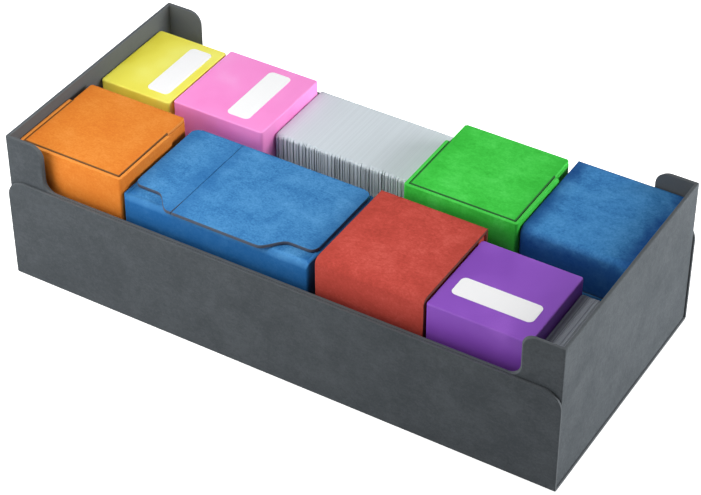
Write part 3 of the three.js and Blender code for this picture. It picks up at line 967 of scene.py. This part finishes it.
@dataclass(frozen=True)
class Shell:
    """An open box of even wall with rounded edges: one profile carried round a rounded rectangle."""

    low: np.ndarray
    high: np.ndarray
    wall: float
    radius: float
    rim: float = 0.6 * MM
    foot: float = 0.8 * MM
    front_rim: float = 0.0
    cavity: Limits | None = None
    upside_down: bool = False
    least_radius: float = 1.0 * MM
    edge_steps: int = 4
    support: float = 0.3 * MM

    def _ring(self, inset: Length, height: Length, hollow: bool) -> np.ndarray:
        """Gives one round of the profile: the plan drawn in by the inset, at a height.

        Args:
            inset: How far each point is drawn in.
            height: The height of each point.
            hollow: Whether the plan is the cavity's instead of the outside's.

        Returns:
            One row per point.
        """
        low, high, wall = self.low, self.high, self.wall
        if hollow:
            box = self.cavity or (low[0] + wall, low[1] + wall, high[0] - wall, high[1] - wall)
            plan = round_plan(box, max(self.radius - wall, self.least_radius))
        else:
            plan = round_plan((low[0], low[1], high[0], high[1]), self.radius)
        drawn = plan + inward(plan) * np.reshape(inset, (-1, 1))
        return np.column_stack([drawn, np.broadcast_to(height, len(plan))])

    def mesh(self) -> Mesh:
        """Builds the closed surface: up the outside, over the rim, down the inside and across the floor.

        The rim's radius may be larger along the front, where it follows each point's share of facing
        forward. Heights are counted from the mouth down for a lid, which is the same box upside down.

        Returns:
            The surface with its "edge" number.
        """
        foot, wall, support, top = self.foot, self.wall, self.support, float(self.high[2] - self.low[2])
        facing = np.clip(inward(round_plan((0.0, 0.0, 1.0, 1.0), 0.25))[:, 1], 0.0, 1.0)
        rim = np.maximum(self.rim, self.front_rim * facing ** 2)
        inner_rim = min(self.rim, wall / 2.2)
        angles = np.radians(np.linspace(0, 90, self.edge_steps + 1))
        rows, edges = [], []

        def add(inset: Length, height: Length, hollow: bool, edge: float = 0.0) -> None:
            """Adds one round and its edge number."""
            rows.append(self._ring(inset, height, hollow))
            edges.append(edge)

        add(foot + support, 0.0, False)
        for angle in angles:
            add(foot * (1 - math.sin(angle)), foot * (1 - math.cos(angle)), False, 0.6)
        add(0.0, foot + support, False)
        add(0.0, top - rim - support, False)
        for angle in angles:
            add(rim * (1 - math.cos(angle)), top - rim * (1 - math.sin(angle)), False,
                math.sin(2 * angle) * 0.6 + 0.4)
        for angle in angles[::-1]:
            add(-inner_rim * (1 - math.cos(angle)), top - inner_rim * (1 - math.sin(angle)), True, 0.7)
        add(0.0, top - inner_rim - support, True)
        add(0.0, wall + foot, True)
        for angle in angles:
            add(foot * (1 - math.cos(angle)), wall + foot * (1 - math.sin(angle)), True)
        add(foot + support, wall, True)
        grid = np.stack(rows)
        grid[:, :, 2] = (self.high[2] - grid[:, :, 2]) if self.upside_down else (self.low[2] + grid[:, :, 2])
        return Mesh.loft(grid, np.array(edges))


# Finishes of this box


GREY = Suede(base=(72, 77, 81), deep=(65, 70, 74), pale=(80, 85, 89), edge=(94, 98, 101), seed=0.31,
             cloud=30 * MM, contrast=1.0, stroke=0.9, edge_amount=0.45, inside_amount=0.75, nap=0.9)
LINING = Felt(base=(70, 74, 78), deep=(52, 56, 60))
# ORANGE, GREEN, RED and BLUE darken their margins with painted shade.
ORANGE = Suede(base=(222, 130, 44), deep=(214, 115, 34), pale=(230, 145, 64), edge=(232, 153, 73), seed=1.7,
               cloud=24 * MM, contrast=0.65, stroke=0.9, nap=1.0, edge_amount=0.5, margin_shade=0.3,
               cut=(84, 66, 44))
GREEN = Suede(base=(67, 209, 73), deep=(45, 181, 50), pale=(94, 228, 101), edge=(87, 216, 91), seed=2.9,
              cloud=22 * MM, contrast=0.7, stroke=0.6, edge_amount=0.4, margin_shade=0.4, cut=(44, 84, 50))
RED = Suede(base=(194, 73, 62), deep=(170, 61, 49), pale=(212, 94, 82), edge=(202, 85, 71), seed=4.3,
            cloud=22 * MM, contrast=0.65, stroke=0.75, nap=1.0, edge_amount=0.3, margin_shade=0.4,
            cut=(78, 52, 46))
BLUE = Suede(base=(64, 132, 189), deep=(36, 102, 163), pale=(87, 154, 208), edge=(80, 143, 193), seed=5.6,
             cloud=20 * MM, contrast=0.65, stroke=0.8, nap=1.1, edge_amount=0.35, margin_shade=0.5,
             cut=(78, 76, 80))
# Painted shade: the long shell's and the blue wrap box's margins darken strongly, into deeper blues of their
# own.
LONG_SHELL_BLUE = replace(BLUE, contrast=0.9, margin_shade=0.85, margin_shade_reach=6 * MM, margin_shade_colour=(22, 94, 158))
DEEP_BLUE = Suede(base=(64, 136, 197), deep=(42, 110, 174), pale=(84, 156, 214), edge=(63, 141, 203),
                  seed=6.4, cloud=22 * MM, contrast=0.85, stroke=0.6, nap=0.9, edge_amount=0.35,
                  margin_shade=0.8, cut=(44, 58, 78), margin_shade_colour=(0, 58, 130))
YELLOW = Plastic(base=(243, 235, 87), pale=(247, 244, 116), deep=(235, 224, 68))
PINK = Plastic(base=(254, 148, 219), pale=(255, 167, 229), deep=(249, 135, 209))
PURPLE = Plastic(base=(139, 76, 192), pale=(157, 92, 208), deep=(131, 68, 184))
LABEL = Paper(base=(254, 254, 255), shade=(250, 251, 253))
# The cards' recess colour is painted shade down the edges of cards that stand back.
CARDS = CardPaper(face=(216, 225, 231), dim=(210, 219, 225), recess_shade=(58, 66, 68))
SHADED_CARDS = CardPaper(face=(178, 184, 192), dim=(128, 134, 144), recess_shade=(58, 64, 68))
NICKEL = Nickel(base=(198, 198, 196), deep=(168, 168, 168))


# Pieces


@dataclass
class SubAssembly:
    """Part of the box that builds and dresses its own pieces."""

    made: list[str] = field(default_factory=list, init=False)

    def add(self, name: str, mesh: Mesh, body: str, nodes: Sequence[str], slot: Slot, finish: Finish,
            smooth: bool = True) -> None:
        """Puts one piece into the scene, on its body and in place of its solids.

        Args:
            name: The piece's name.
            mesh: Its surface.
            body: The body it moves with.
            nodes: The solids that it stands for.
            slot: The record's slot of its finish. Not used.
            finish: The finish.
            smooth: Whether it is shaded smooth.
        """
        made = mesh.to_object(name, smooth)
        box = (mesh.points.min(axis=0), mesh.points.max(axis=0))
        made.data.materials.append(finish.material(f"{name}_finish", box))
        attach(made, body)
        if nodes:
            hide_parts(*nodes)
        self.made.append(name)

    def dress(self, node: str, finish: Finish) -> None:
        """Gives a solid of the frame its finish through its material slots.

        Args:
            node: The solid.
            finish: The finish.
        """
        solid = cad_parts[node]
        material = finish.material(f"{node}_finish", node_box(node))
        if not solid.material_slots:
            raise ValueError(f"{node} has no material slot")
        for place in solid.material_slots:
            place.material = material
        self.made.append(node)

    def build(self) -> None:
        """Builds the sub-assembly's pieces."""
        raise NotImplementedError


@dataclass
class Cover(SubAssembly):
    """The wrapped channel that the tray stands in: a front panel, a base and a back panel in one sheet."""

    fold_radius: float = 2.3 * MM
    panel_radius: float = 14.0 * MM
    panel_steps: int = 12
    edge: float = 0.5 * MM

    def build(self) -> None:
        """Bends one rounded sheet up both long sides of the base."""
        low, high = node_box("cover_front_panel")
        base_low, base_high = node_box("cover_base")
        thickness = float(base_high[2] - base_low[2])
        box = (low[1], 0.0, node_box("cover_back_panel")[1][1], high[2])
        path = Path.channel(box, (self.fold_radius, self.fold_radius - thickness), thickness)
        lines = plate_lines((0.0, low[0], path.length, high[0]), (self.panel_radius,) * 4,
                            self.panel_steps, fill=1)
        sheet = Sheet(*path.with_bends(lines), path, Axes.SIDE, thickness, self.edge, rows=6)
        self.add("cover_channel", sheet.mesh(), "cover",
                 ("cover_base", "cover_front_panel", "cover_back_panel"), Slot.GREY, GREY)


@dataclass
class Tray(SubAssembly):
    """The wrapped tray: four walls in one sheet with raised ears, a floor, a divider and two linings."""

    ear_width: float = 27.0 * MM
    ear_radius: float = 10.0 * MM
    foot_radius: float = 9.0 * MM
    low_wall_share: float = 0.694
    corner_radius: float = 1.0 * MM
    inner_corner_radius: float = 0.4 * MM
    edge: float = 0.6 * MM
    divider_edge: float = 1.0 * MM
    corner_steps: int = 5
    turn_steps: int = 8
    run_steps: int = 6
    crest_steps: int = 3

    def _half_rim(self, wall_end: float, inner: float, bottom: float,
                  top: float) -> tuple[np.ndarray, np.ndarray]:
        """Gives the rim and foot line of one eared wall, from its middle to its end.

        The rim runs low, turns up a concave quarter circle, climbs the ear's edge and turns over a convex
        quarter circle. Below the climb the foot line fans out, so that no face is drawn to nothing.

        Args:
            wall_end: Half the wall's length.
            inner: The distance from the middle to the ear.
            bottom: The foot line's height.
            top: The ear's height.

        Returns:
            The foot line and the rim line.
        """
        low_top = bottom + (top - bottom) * self.low_wall_share
        run = np.linspace(0.0, inner - self.foot_radius, self.run_steps + 1)[:-1]
        foot = arc((inner - self.foot_radius, low_top + self.foot_radius), self.foot_radius, 270, 360,
                   self.turn_steps)
        ear = arc((inner + self.ear_radius, top - self.ear_radius), self.ear_radius, 180, 90,
                  self.turn_steps)
        crest = np.linspace(inner + self.ear_radius, wall_end, self.crest_steps + 1)[1:]
        rim = np.concatenate([level_line(run, low_top), foot, ear, level_line(crest, top)])
        under = rim[:, 0].copy()
        climb = len(run) + len(foot)
        under[climb:climb + len(ear)] = inner + self.ear_radius * np.arange(1, len(ear) + 1) / len(ear)
        return level_line(under, bottom), rim

    def _walls(self) -> Sheet:
        """Unrolls the four walls into one ring and bends it round the tray's plan.

        Returns:
            The ring.
        """
        front, back = node_box("tray_front_wall"), node_box("tray_back_wall")
        x0, x1 = node_box("tray_left_end")[0][0], node_box("tray_right_end")[1][0]
        y0, y1, bottom, top = front[0][1], back[1][1], front[0][2], front[1][2]
        board = float(front[1][1] - front[0][1])
        steps = self.corner_steps

        def face(radius: float, inset: float) -> np.ndarray:
            """Goes round one face of the walls from the middle of the front.

            Args:
                radius: The radius of its corners.
                inset: How far it lies inside the outer face.

            Returns:
                One row per point.
            """
            plan = round_plan((x0 + inset, y0 + inset, x1 - inset, y1 - inset), radius, steps)
            middle = [[0.0, y0 + inset]]
            return np.concatenate([middle, np.roll(plan, -(steps + 1), axis=0), middle])

        path = Path.through(face(self.corner_radius, 0.0), face(self.inner_corner_radius, board))
        half = (x1 - x0) / 2 - self.corner_radius
        foot_line, rim_line = self._half_rim(half, front[1][0] - self.ear_width, bottom, top)
        turns = path.stations[1:-1].reshape(4, steps + 1)
        end_half = (turns[1][0] - turns[0][-1]) / 2
        back_middle = (turns[1][-1] + turns[2][0]) / 2

        def about(line: np.ndarray, middle: float, mirror: bool) -> np.ndarray:
            """Lays half a wall's line to one side of its middle."""
            moved = line * np.array([-1.0 if mirror else 1.0, 1.0])
            return (moved[::-1] if mirror else moved) + np.array([middle, 0.0])

        def end(first: np.ndarray, second: np.ndarray, height: float) -> np.ndarray:
            """Goes level round a corner, along an end and round the next corner."""
            between = first[-1] + end_half * np.array([0.5, 1.0, 1.5])
            return level_line(np.concatenate([first[1:], between, second]), height)

        def wrap(line: np.ndarray, height: float) -> np.ndarray:
            """Goes once round: half the front, an end, the back, an end, and the other half of the front."""
            return np.concatenate([
                about(line, 0.0, False), end(turns[0], turns[1], height),
                about(line, back_middle, True)[1:], about(line, back_middle, False)[1:],
                end(turns[2], turns[3], height), about(line, path.length, True)[1:-1]])

        return Sheet(wrap(foot_line, bottom), wrap(rim_line, top), path, Axes.PLAN, board, self.edge, rows=4,
                     ring=True)

    def build(self) -> None:
        """Builds the walls, floor and divider, and dresses the linings."""
        self.add("tray_walls", self._walls().mesh(), "tray",
                 ("tray_front_wall", "tray_back_wall", "tray_left_end", "tray_right_end"), Slot.GREY, GREY)
        floor = Sheet.in_place_of("tray_floor", Axes.TOP, self.edge)
        self.add("tray_floor_board", floor.mesh(), "tray", ("tray_floor",), Slot.GREY, GREY)
        divider = Sheet.in_place_of("tray_divider", Axes.PLAN, self.divider_edge, rows=2, fill=8)
        self.add("tray_divider_board", divider.mesh(), "tray", ("tray_divider",), Slot.LINING, LINING)
        for row in ("front", "back"):
            self.dress(f"tray_lining_{row}", LINING)


@dataclass
class DeckBox(SubAssembly):
    """A deck box, whose name begins the names of its pieces, solids and bodies."""

    name: str
    slot: Slot
    finish: Finish

    def put(self, piece: str, mesh: Mesh, node: str = "", body: str = "box") -> None:
        """Adds a piece in the box's finish, whose name begins its own, its solid's and its body's."""
        nodes = (f"{self.name}_{node}",) if node else ()
        self.add(f"{self.name}_{piece}", mesh, f"{self.name}_{body}", nodes, self.slot, self.finish)


@dataclass
class SuedeBox(DeckBox):
    """A deck box of boards under a suede wrap, which is also the fold that its flaps turn on."""

    edge: float = 0.5 * MM
    skin: float = 0.4 * MM
    skin_gap: float = 0.02 * MM

    def put_skin(self, node: str, flaps: Sequence[str], corner: float = 0.0) -> None:
        """Puts the wrap's skin on the box's back, up to the hinge line, where it closes the slit.

        Args:
            node: The rest of the name of the solid that it lies on.
            flaps: The same of the flaps' solids, from left to right.
            corner: The radius of the flaps' corners, by which the skin stops short of them.
        """
        low, high = node_box(f"{self.name}_{node}")
        first, last = (node_box(f"{self.name}_{flap}") for flap in (flaps[0], flaps[-1]))
        box = (float(first[0][0]) + corner, low[2], float(last[1][0]) - corner, float(first[1][2]))
        face = float(high[1]) + self.skin_gap + self.skin
        sheet = Sheet.board(box, face, self.skin, Axes.PLAN, self.skin / 2.5, edge_steps=2)
        self.put("back_skin", sheet.mesh())


@dataclass
class FlipBox(SuedeBox):
    """A suede flip box: a shell, a band round three of its sides, and a flap set into the band."""

    shell_wall: float = 2.0 * MM
    shell_rim: float = 0.25 * MM
    band_thickness: float = 2.6 * MM
    band_radius: float = 2.2 * MM
    band_inner_radius: float = 0.6 * MM
    band_end_radius: float = 4.0 * MM
    flap_radius: float = 1.2 * MM
    flap_edge: float = 0.45 * MM
    flap_support: float = 0.8 * MM
    flap_rows: int = 60

    def _band(self) -> Sheet:
        """Unrolls the band into one strip with rounded upper ends and bends it round the front.

        Returns:
            The strip.
        """
        low, high = node_box(f"{self.name}_band")
        path = Path.channel((low[0], low[1], high[0], high[1]), (self.band_radius, self.band_inner_radius),
                            self.band_thickness)
        radii = (0.0, 0.0, self.band_end_radius, self.band_end_radius)
        lines = plate_lines((0.0, low[2], path.length, high[2]), radii, fill=1)
        return Sheet(*path.with_bends(lines), path, Axes.PLAN, self.band_thickness, self.edge, rows=4)

    def build(self) -> None:
        """Builds the shell, the band, the flap and the skin."""
        shell = Shell(*node_box(f"{self.name}_shell"), self.shell_wall, self.shell_wall / 2,
                      rim=self.shell_rim)
        self.put("inner_shell", shell.mesh(), "shell")
        self.put("outer_band", self._band().mesh(), "band")
        board = Sheet.in_place_of(f"{self.name}_flap", Axes.TOP, self.flap_edge, rows=self.flap_rows,
                                  radii=(self.flap_radius,) * 4)
        flap = replace(board, support=self.flap_support).mesh()
        flap.cut_where(flap.points[:, 1] < node_box(f"{self.name}_band")[1][1], "rim")
        self.put("flap_board", flap, "flap", "lid")
        self.put_skin("shell", ["flap"], self.flap_radius)


@dataclass
class WrapBox(SuedeBox):
    """A suede wrap box: a case with one long board folded over its top and down its front."""

    board: float = 2.6 * MM
    fold_radius: float = 5.0 * MM
    case_wall: float = 2.2 * MM
    fold_steps: int = 8
    top_steps: int = 5

    def _flap(self) -> Sheet:
        """Bends one board over the front edge and down the front.

        Returns:
            The board.
        """
        low, high = node_box(f"{self.name}_flap")
        centre = (low[1] + self.fold_radius, high[2] - self.fold_radius)

        def way(inset: float) -> np.ndarray:
            """Goes over the top, round the fold and down the front, the inset inside the outer face."""
            return np.concatenate([[[high[1], high[2] - inset]],
                                   arc(centre, self.fold_radius - inset, 90, 180, self.fold_steps),
                                   [[low[1] + inset, low[2]]]])

        path = Path.through(way(0.0), way(self.board))
        over = np.linspace(0, path.stations[1], self.top_steps + 1)
        along = np.unique(np.concatenate([path.stations, over]))
        return Sheet(level_line(along, low[0]), level_line(along, high[0]), path, Axes.SIDE, self.board,
                     self.edge, rows=4)

    def build(self) -> None:
        """Builds the case, the boards, the flap and the skin, and dresses the magnets."""
        case = Shell(*node_box(f"{self.name}_case"), self.case_wall, self.case_wall / 2,
                     front_rim=self.fold_radius - self.board)
        self.put("inner_case", case.mesh(), "case")
        for side in ("back", "front"):
            board = Sheet.in_place_of(f"{self.name}_wrap_{side}", Axes.PLAN, self.edge).mesh()
            board.cut_where(True)
            self.put(f"{side}_board", board, f"wrap_{side}")
        flap = self._flap().mesh()
        flap.cut_where(True)
        self.put("flap_board", flap, "flap", "lid")
        self.put_skin("wrap_back", ["flap"])
        for place in ("case", "flap"):
            self.dress(f"{self.name}_{place}_magnet", NICKEL)


@dataclass
class PlainBox(DeckBox):
    """A moulded box: a body with a neck, a telescoping lid and a bare label."""

    wall: float = 1.6 * MM
    neck_wall: float = 1.5 * MM
    clearance: float = 0.3 * MM
    radius: float = 2.2 * MM
    lid_rim: float = 0.4 * MM
    top_edge: float = 0.9 * MM
    soft: float = 0.6 * MM
    tight: float = 0.3 * MM
    label_radius: float = 4.0 * MM
    label_edge: float = 0.1 * MM

    def _body(self) -> Mesh:
        """Carries a profile with a shoulder and a neck round the plan.

        Each row of the profile is an inset, a height and an "edge" number. The plan's points move in by
        the inset along their inward way, and past the corners' radius straight in along both axes.

        Returns:
            The closed surface.
        """
        low, high = node_box(f"{self.name}_body")
        base, top, floor = low[2], high[2], low[2] + self.wall
        shoulder = node_box(f"{self.name}_lid")[0][2] - self.clearance
        neck = self.wall + self.clearance
        bore = neck + self.neck_wall
        soft, tight, bend = self.soft, self.tight, self.soft * 0.3
        inset, heights, edges = np.array([
            (soft + tight, base, 0), (soft, base, 0.5), (bend, base + bend, 0.7), (0, base + soft, 0.3),
            (0, base + soft + tight, 0), (0, shoulder - soft - tight, 0), (0, shoulder - soft, 0.3),
            (bend, shoulder - bend, 0.7), (soft, shoulder, 0.3), (neck, shoulder, 0),
            (neck, shoulder + tight, 0), (neck, top - soft, 0), (neck + bend, top - bend, 0.7),
            (neck + soft, top, 0.4), (bore - tight, top, 0.2), (bore, top - tight, 0.2),
            (bore, top - 2 * tight, 0), (bore, floor + tight, 0), (bore + tight, floor, 0),
            (bore + 2 * tight, floor, 0)]).T
        plan = round_plan((low[0], low[1], high[0], high[1]), self.radius)
        inset, round_reach = inset[:, None, None], self.radius * 0.9
        drawn = plan + inward(plan) * np.minimum(inset, round_reach)
        drawn = drawn - np.sign(plan - plan.mean(axis=0)) * np.maximum(inset - round_reach, 0.0)
        level = np.broadcast_to(heights[:, None, None], drawn.shape[:2] + (1,))
        return Mesh.loft(np.concatenate([drawn, level], axis=2), edges)

    def build(self) -> None:
        """Builds the body, the lid and the label."""
        name = self.name
        self.put("box_body", self._body(), "body")
        lid_low, lid_high = node_box(f"{name}_lid")
        lid = Shell(lid_low, lid_high, self.wall, self.radius, rim=self.lid_rim, foot=self.top_edge,
                    upside_down=True)
        self.put("box_lid", lid.mesh(), "lid", "top")
        low, high = node_box(f"{name}_label")
        label = Sheet.board((low[0], low[1], high[0], high[1]), high[2], float(high[2]) - float(lid_high[2]),
                            Axes.TOP, self.label_edge, rows=2, radii=(self.label_radius,) * 4, steps=8,
                            edge_steps=2)
        self.add(f"{name}_bare_label", label.mesh(), f"{name}_top", (f"{name}_label",), Slot.LABEL, LABEL)


@dataclass
class LongBox(SuedeBox):
    """The long suede box: a shell with a front ledge, two wells and a lid in two tongued leaves."""

    name: str = "long"
    slot: Slot = Slot.BLUE
    finish: Finish = BLUE
    wall: float = 2.6 * MM
    ledge_depth: float = 16.0 * MM
    front_edge: float = 5.0 * MM
    tongue_width: float = 72.5 * MM
    tongue_curve: float = 18.0 * MM
    setback: float = 11.2 * MM
    leaf_radius: float = 6.0 * MM
    leaf_steps: int = 40

    def _leaf(self, leaf: str, left: float, right: float) -> Sheet:
        """Gives one leaf, whose front line steps from the setback to the tongue along a smooth S.

        The step is a cosine: half of one plus the cosine of the share of the curve that has passed.

        Args:
            leaf: Which leaf.
            left: The radius of its left corners.
            right: The radius of its right corners.

        Returns:
            The sheet.
        """
        low, high = node_box(f"long_{leaf}_leaf")
        shell_low, shell_high = node_box("long_shell")
        set_line = float(shell_low[1]) + self.setback
        base, top = plate_lines((low[0], set_line, high[0], high[1]), (left, right, right, left),
                                fill=self.leaf_steps)
        away = np.abs(base[:, 0] - (shell_low[0] + shell_high[0]) / 2) - self.tongue_width / 2
        step = (1 + np.cos(np.pi * np.clip(away / self.tongue_curve, 0.0, 1.0))) / 2
        base[:, 1] += (low[1] - set_line) * step
        thickness = float(high[2] - low[2])
        path = Path.straight(low[0], high[0], high[2], thickness)
        return Sheet(base, top, path, Axes.TOP, thickness, self.edge, rows=4)

    def build(self) -> None:
        """Builds the shell, the skin and both leaves, and dresses the divider and the magnets."""
        low, high = node_box("long_shell")
        ledge_line, wall = low[1] + self.ledge_depth, self.wall
        shell = Shell(low, high, wall, wall, front_rim=self.front_edge,
                      cavity=(low[0] + wall, ledge_line, high[0] - wall, high[1] - wall))
        self.add("long_box_shell", shell.mesh(), "long_box", ("long_shell", "long_partition"), Slot.BLUE,
                 LONG_SHELL_BLUE)
        self.put_skin("shell", ["small_leaf", "main_leaf"], self.leaf_radius)
        self.dress("long_divider", BLUE)
        for leaf, left, right in (("main", 0.0, self.leaf_radius), ("small", self.leaf_radius, 0.0)):
            board = self._leaf(leaf, left, right).mesh()
            board.cut_where(board.points[:, 1] < ledge_line)
            self.put(f"{leaf}_leaf_board", board, f"{leaf}_leaf", f"{leaf}_lid")
        for index in (1, 2):
            for place in ("ledge", "leaf"):
                self.dress(f"long_{place}_magnet_{index}", NICKEL)


@dataclass
class CardStack(SubAssembly):
    """Upright sleeved cards packed along X, every card its own thin plate."""

    node: str
    body: str
    seed: int
    finish: CardPaper
    pitch: float = 0.66 * MM
    corner: float = 3.0 * MM
    slack: float = 0.3 * MM
    recess: float = 1.1 * MM
    drop: float = 0.04 * MM
    run: int = 3
    fill: float = 0.96

    def build(self) -> None:
        """Places the cards: even steps along X, moved back and down by a seeded draw.

        A short run of cards stands forward, then one or two stand back, and so on.
        """
        low, high = node_box(self.node)
        draw = np.random.default_rng(self.seed)
        count = max(8, round(float(high[0] - low[0]) / self.pitch))
        step = float(high[0] - low[0]) / count
        outline = round_plan((low[1], low[2], high[1], high[2]), self.corner, 3)
        runs = zip(draw.integers(1, self.run + 1, count), draw.integers(1, 3, count))
        back = [k >= ahead for ahead, behind in runs for k in range(ahead + behind)]
        hang = np.where(back[:count], (0.3 + 0.7 * draw.random(count)) * self.recess,
                        draw.random(count) * self.slack)
        drop = draw.random(count) * self.drop
        thick = step * (self.fill + (1 - self.fill) * draw.random(count))
        left = low[0] + step * np.arange(count) + (step - thick) * 0.5
        points = np.empty((count, 2, len(outline), 3))
        points[..., 0] = np.stack([left, left + thick], axis=1)[:, :, None]
        front = outline[:, 0] < (low[1] + high[1]) / 2
        points[..., 1] = outline[:, 0] + np.where(front, hang[:, None], -0.5 * hang[::-1, None])[:, None, :]
        upper = outline[:, 1] > (low[2] + high[2]) / 2
        points[..., 2] = outline[:, 1] - (drop[:, None] * upper)[:, None, :]
        numbers = np.arange(points[..., 0].size).reshape(count, 2, len(outline))
        after = np.roll(numbers, -1, axis=2)
        sides = np.stack([numbers[:, 0], after[:, 0], after[:, 1], numbers[:, 1]], axis=-1).reshape(-1, 4)
        tone = np.repeat(draw.random(count), 2 * len(outline))
        # Painted shade: a card that stands back darkens down its front edge, the more the further back it
        # stands.
        down = np.clip((high[2] - outline[:, 1] - 0.3 * self.corner) / self.corner, 0.0, 1.0) * front
        shade = np.clip(hang / self.recess, 0, 1)[:, None, None] * down
        mesh = Mesh(points.reshape(-1, 3), [sides, numbers[:, 0, ::-1], numbers[:, 1]],
                    {"tone": tone, "shade": np.broadcast_to(shade, numbers.shape).flatten()})
        self.add(f"{self.node}_sleeved_cards", mesh, self.body, (self.node,), Slot.CARDS, self.finish,
                 smooth=False)


@dataclass(frozen=True)
class Lamp:
    """A square area lamp: its place and what it points at in metres, its side, and its power in watts."""

    name: str
    place: Point
    aim: Point
    size: float
    power: float

    def hang(self) -> None:
        """Adds the lamp to the scene, turned towards what it points at."""
        data = bpy.data.lights.new(self.name, "AREA")
        data.size, data.energy = self.size, self.power
        lamp = bpy.data.objects.new(self.name, data)
        lamp.location = self.place
        x, y, z = (far - near for far, near in zip(self.place, self.aim))
        lamp.rotation_euler = (math.atan2(math.hypot(x, y), z), 0.0, math.atan2(y, x) + math.pi / 2)
        bpy.context.scene.collection.objects.link(lamp)


@dataclass
class Studio:
    """The pale floor, the soft lamps and the camera."""

    eye: Point = (0.65168, -1.07239, 1.05738)
    turn: float = 0.5435
    tilt: float = 0.6793
    roll: float = 0.0012
    lens: float = 116.0
    sensor: float = 36.0
    sky: float = 0.12
    floor_half: float = 12.0
    floor_drop: float = 0.2 * MM
    floor_grey: float = 0.92
    floor_glow: float = 0.9
    lamps: tuple[Lamp, ...] = (
        Lamp("top_lamp", (-0.2, -0.25, 0.6), (0.0, 0.0, 0.08), 0.3, 2.11),
        Lamp("right_lamp", (1.2, 0.5, 0.3), (0.2, 0.0, 0.05), 0.8, 23.6),
        Lamp("left_front_lamp", (-0.4, -0.5, 0.3), (-0.1, -0.1, 0.06), 0.45, 2.34),
        Lamp("back_lamp", (0.1, 1.3, 0.35), (0.0, 0.0, 0.05), 0.6, 1.0),
        Lamp("left_lamp", (-1.3, 0.1, 0.3), (0.0, 0.0, 0.05), 0.6, 3.57))

    def _world(self) -> None:
        """Gives plain light all round, and white where the camera or a reflection looks past the floor."""
        world = bpy.data.worlds.new("studio_world")
        bpy.context.scene.world = world
        world.use_nodes = True
        graph = Graph(world.node_tree)
        mirrored = graph.math("MAXIMUM", graph.ray("Glossy"), graph.ray("Transmission"))
        seen = graph.math("MAXIMUM", graph.ray("Camera"), mirrored)
        plain, white = (graph.signal("ShaderNodeBackground", "Background", None,
                                     {"Color": WHITE, "Strength": strength}) for strength in (self.sky, 1.0))
        both = graph.signal("ShaderNodeMixShader", "Shader", None, {0: seen, 1: plain, 2: white})
        graph.node("ShaderNodeOutputWorld", None, {"Surface": both})

    def _floor(self) -> None:
        """Lays a pale floor that keeps the shadow and turns white away from it."""
        half, low = self.floor_half, -self.floor_drop
        data = bpy.data.meshes.new("studio_floor")
        data.from_pydata([(-half, -half, low), (half, -half, low), (half, half, low), (-half, half, low)],
                         [], [(0, 1, 2, 3)])
        floor = bpy.data.objects.new("studio_floor", data)
        bpy.context.scene.collection.objects.link(floor)
        made = bpy.data.materials.new("studio_floor_finish")
        made.use_nodes = True
        graph = Graph(made.node_tree)
        grey = (self.floor_grey, self.floor_grey, self.floor_grey, 1.0)
        paint = graph.signal("ShaderNodeBsdfDiffuse", "BSDF", None, {"Color": grey})
        glow = graph.signal("ShaderNodeEmission", "Emission", None,
                            {"Color": WHITE, "Strength": graph.ray("Camera") * self.floor_glow})
        both = graph.signal("ShaderNodeAddShader", "Shader", None, {0: paint, 1: glow})
        graph.node("ShaderNodeOutputMaterial", None, {"Surface": both})
        data.materials.append(made)

    def build(self) -> None:
        """Sets up the view, the camera, the floor and the light."""
        scene = bpy.context.scene
        scene.view_settings.view_transform = "Standard"
        data = bpy.data.cameras.new("photo_camera")
        data.lens = self.lens
        data.sensor_width = self.sensor
        data.clip_start, data.clip_end = 0.05, 50.0
        camera = bpy.data.objects.new("photo_camera", data)
        camera.location = self.eye
        camera.rotation_euler = (math.pi / 2 - self.tilt, self.roll, self.turn)
        scene.collection.objects.link(camera)
        scene.camera = camera
        self._floor()
        self._world()
        for lamp in self.lamps:
            lamp.hang()


def main() -> None:
    """Builds every sub-assembly in order and reports its pieces."""
    logging.basicConfig(level=logging.INFO, format="%(message)s")
    Studio().build()
    assemblies: list[SubAssembly] = [
        Cover(), Tray(),
        FlipBox("orange", Slot.ORANGE, ORANGE),
        LongBox(),
        WrapBox("red", Slot.RED, RED),
        PlainBox("purple", Slot.PURPLE, PURPLE),
        CardStack("card_bundle", "short_stack", 11, SHADED_CARDS, drop=0.7 * MM, fill=0.72),
        PlainBox("yellow", Slot.YELLOW, YELLOW),
        PlainBox("pink", Slot.PINK, PINK),
        CardStack("card_block", "long_stack", 5, CARDS),
        FlipBox("green", Slot.GREEN, GREEN),
        WrapBox("blue", Slot.BLUE, DEEP_BLUE)]
    for assembly in assemblies:
        assembly.build()
        for piece in assembly.made:
            LOG.info("%s: %s", type(assembly).__name__, piece)


if __name__ == "__main__":
    main()
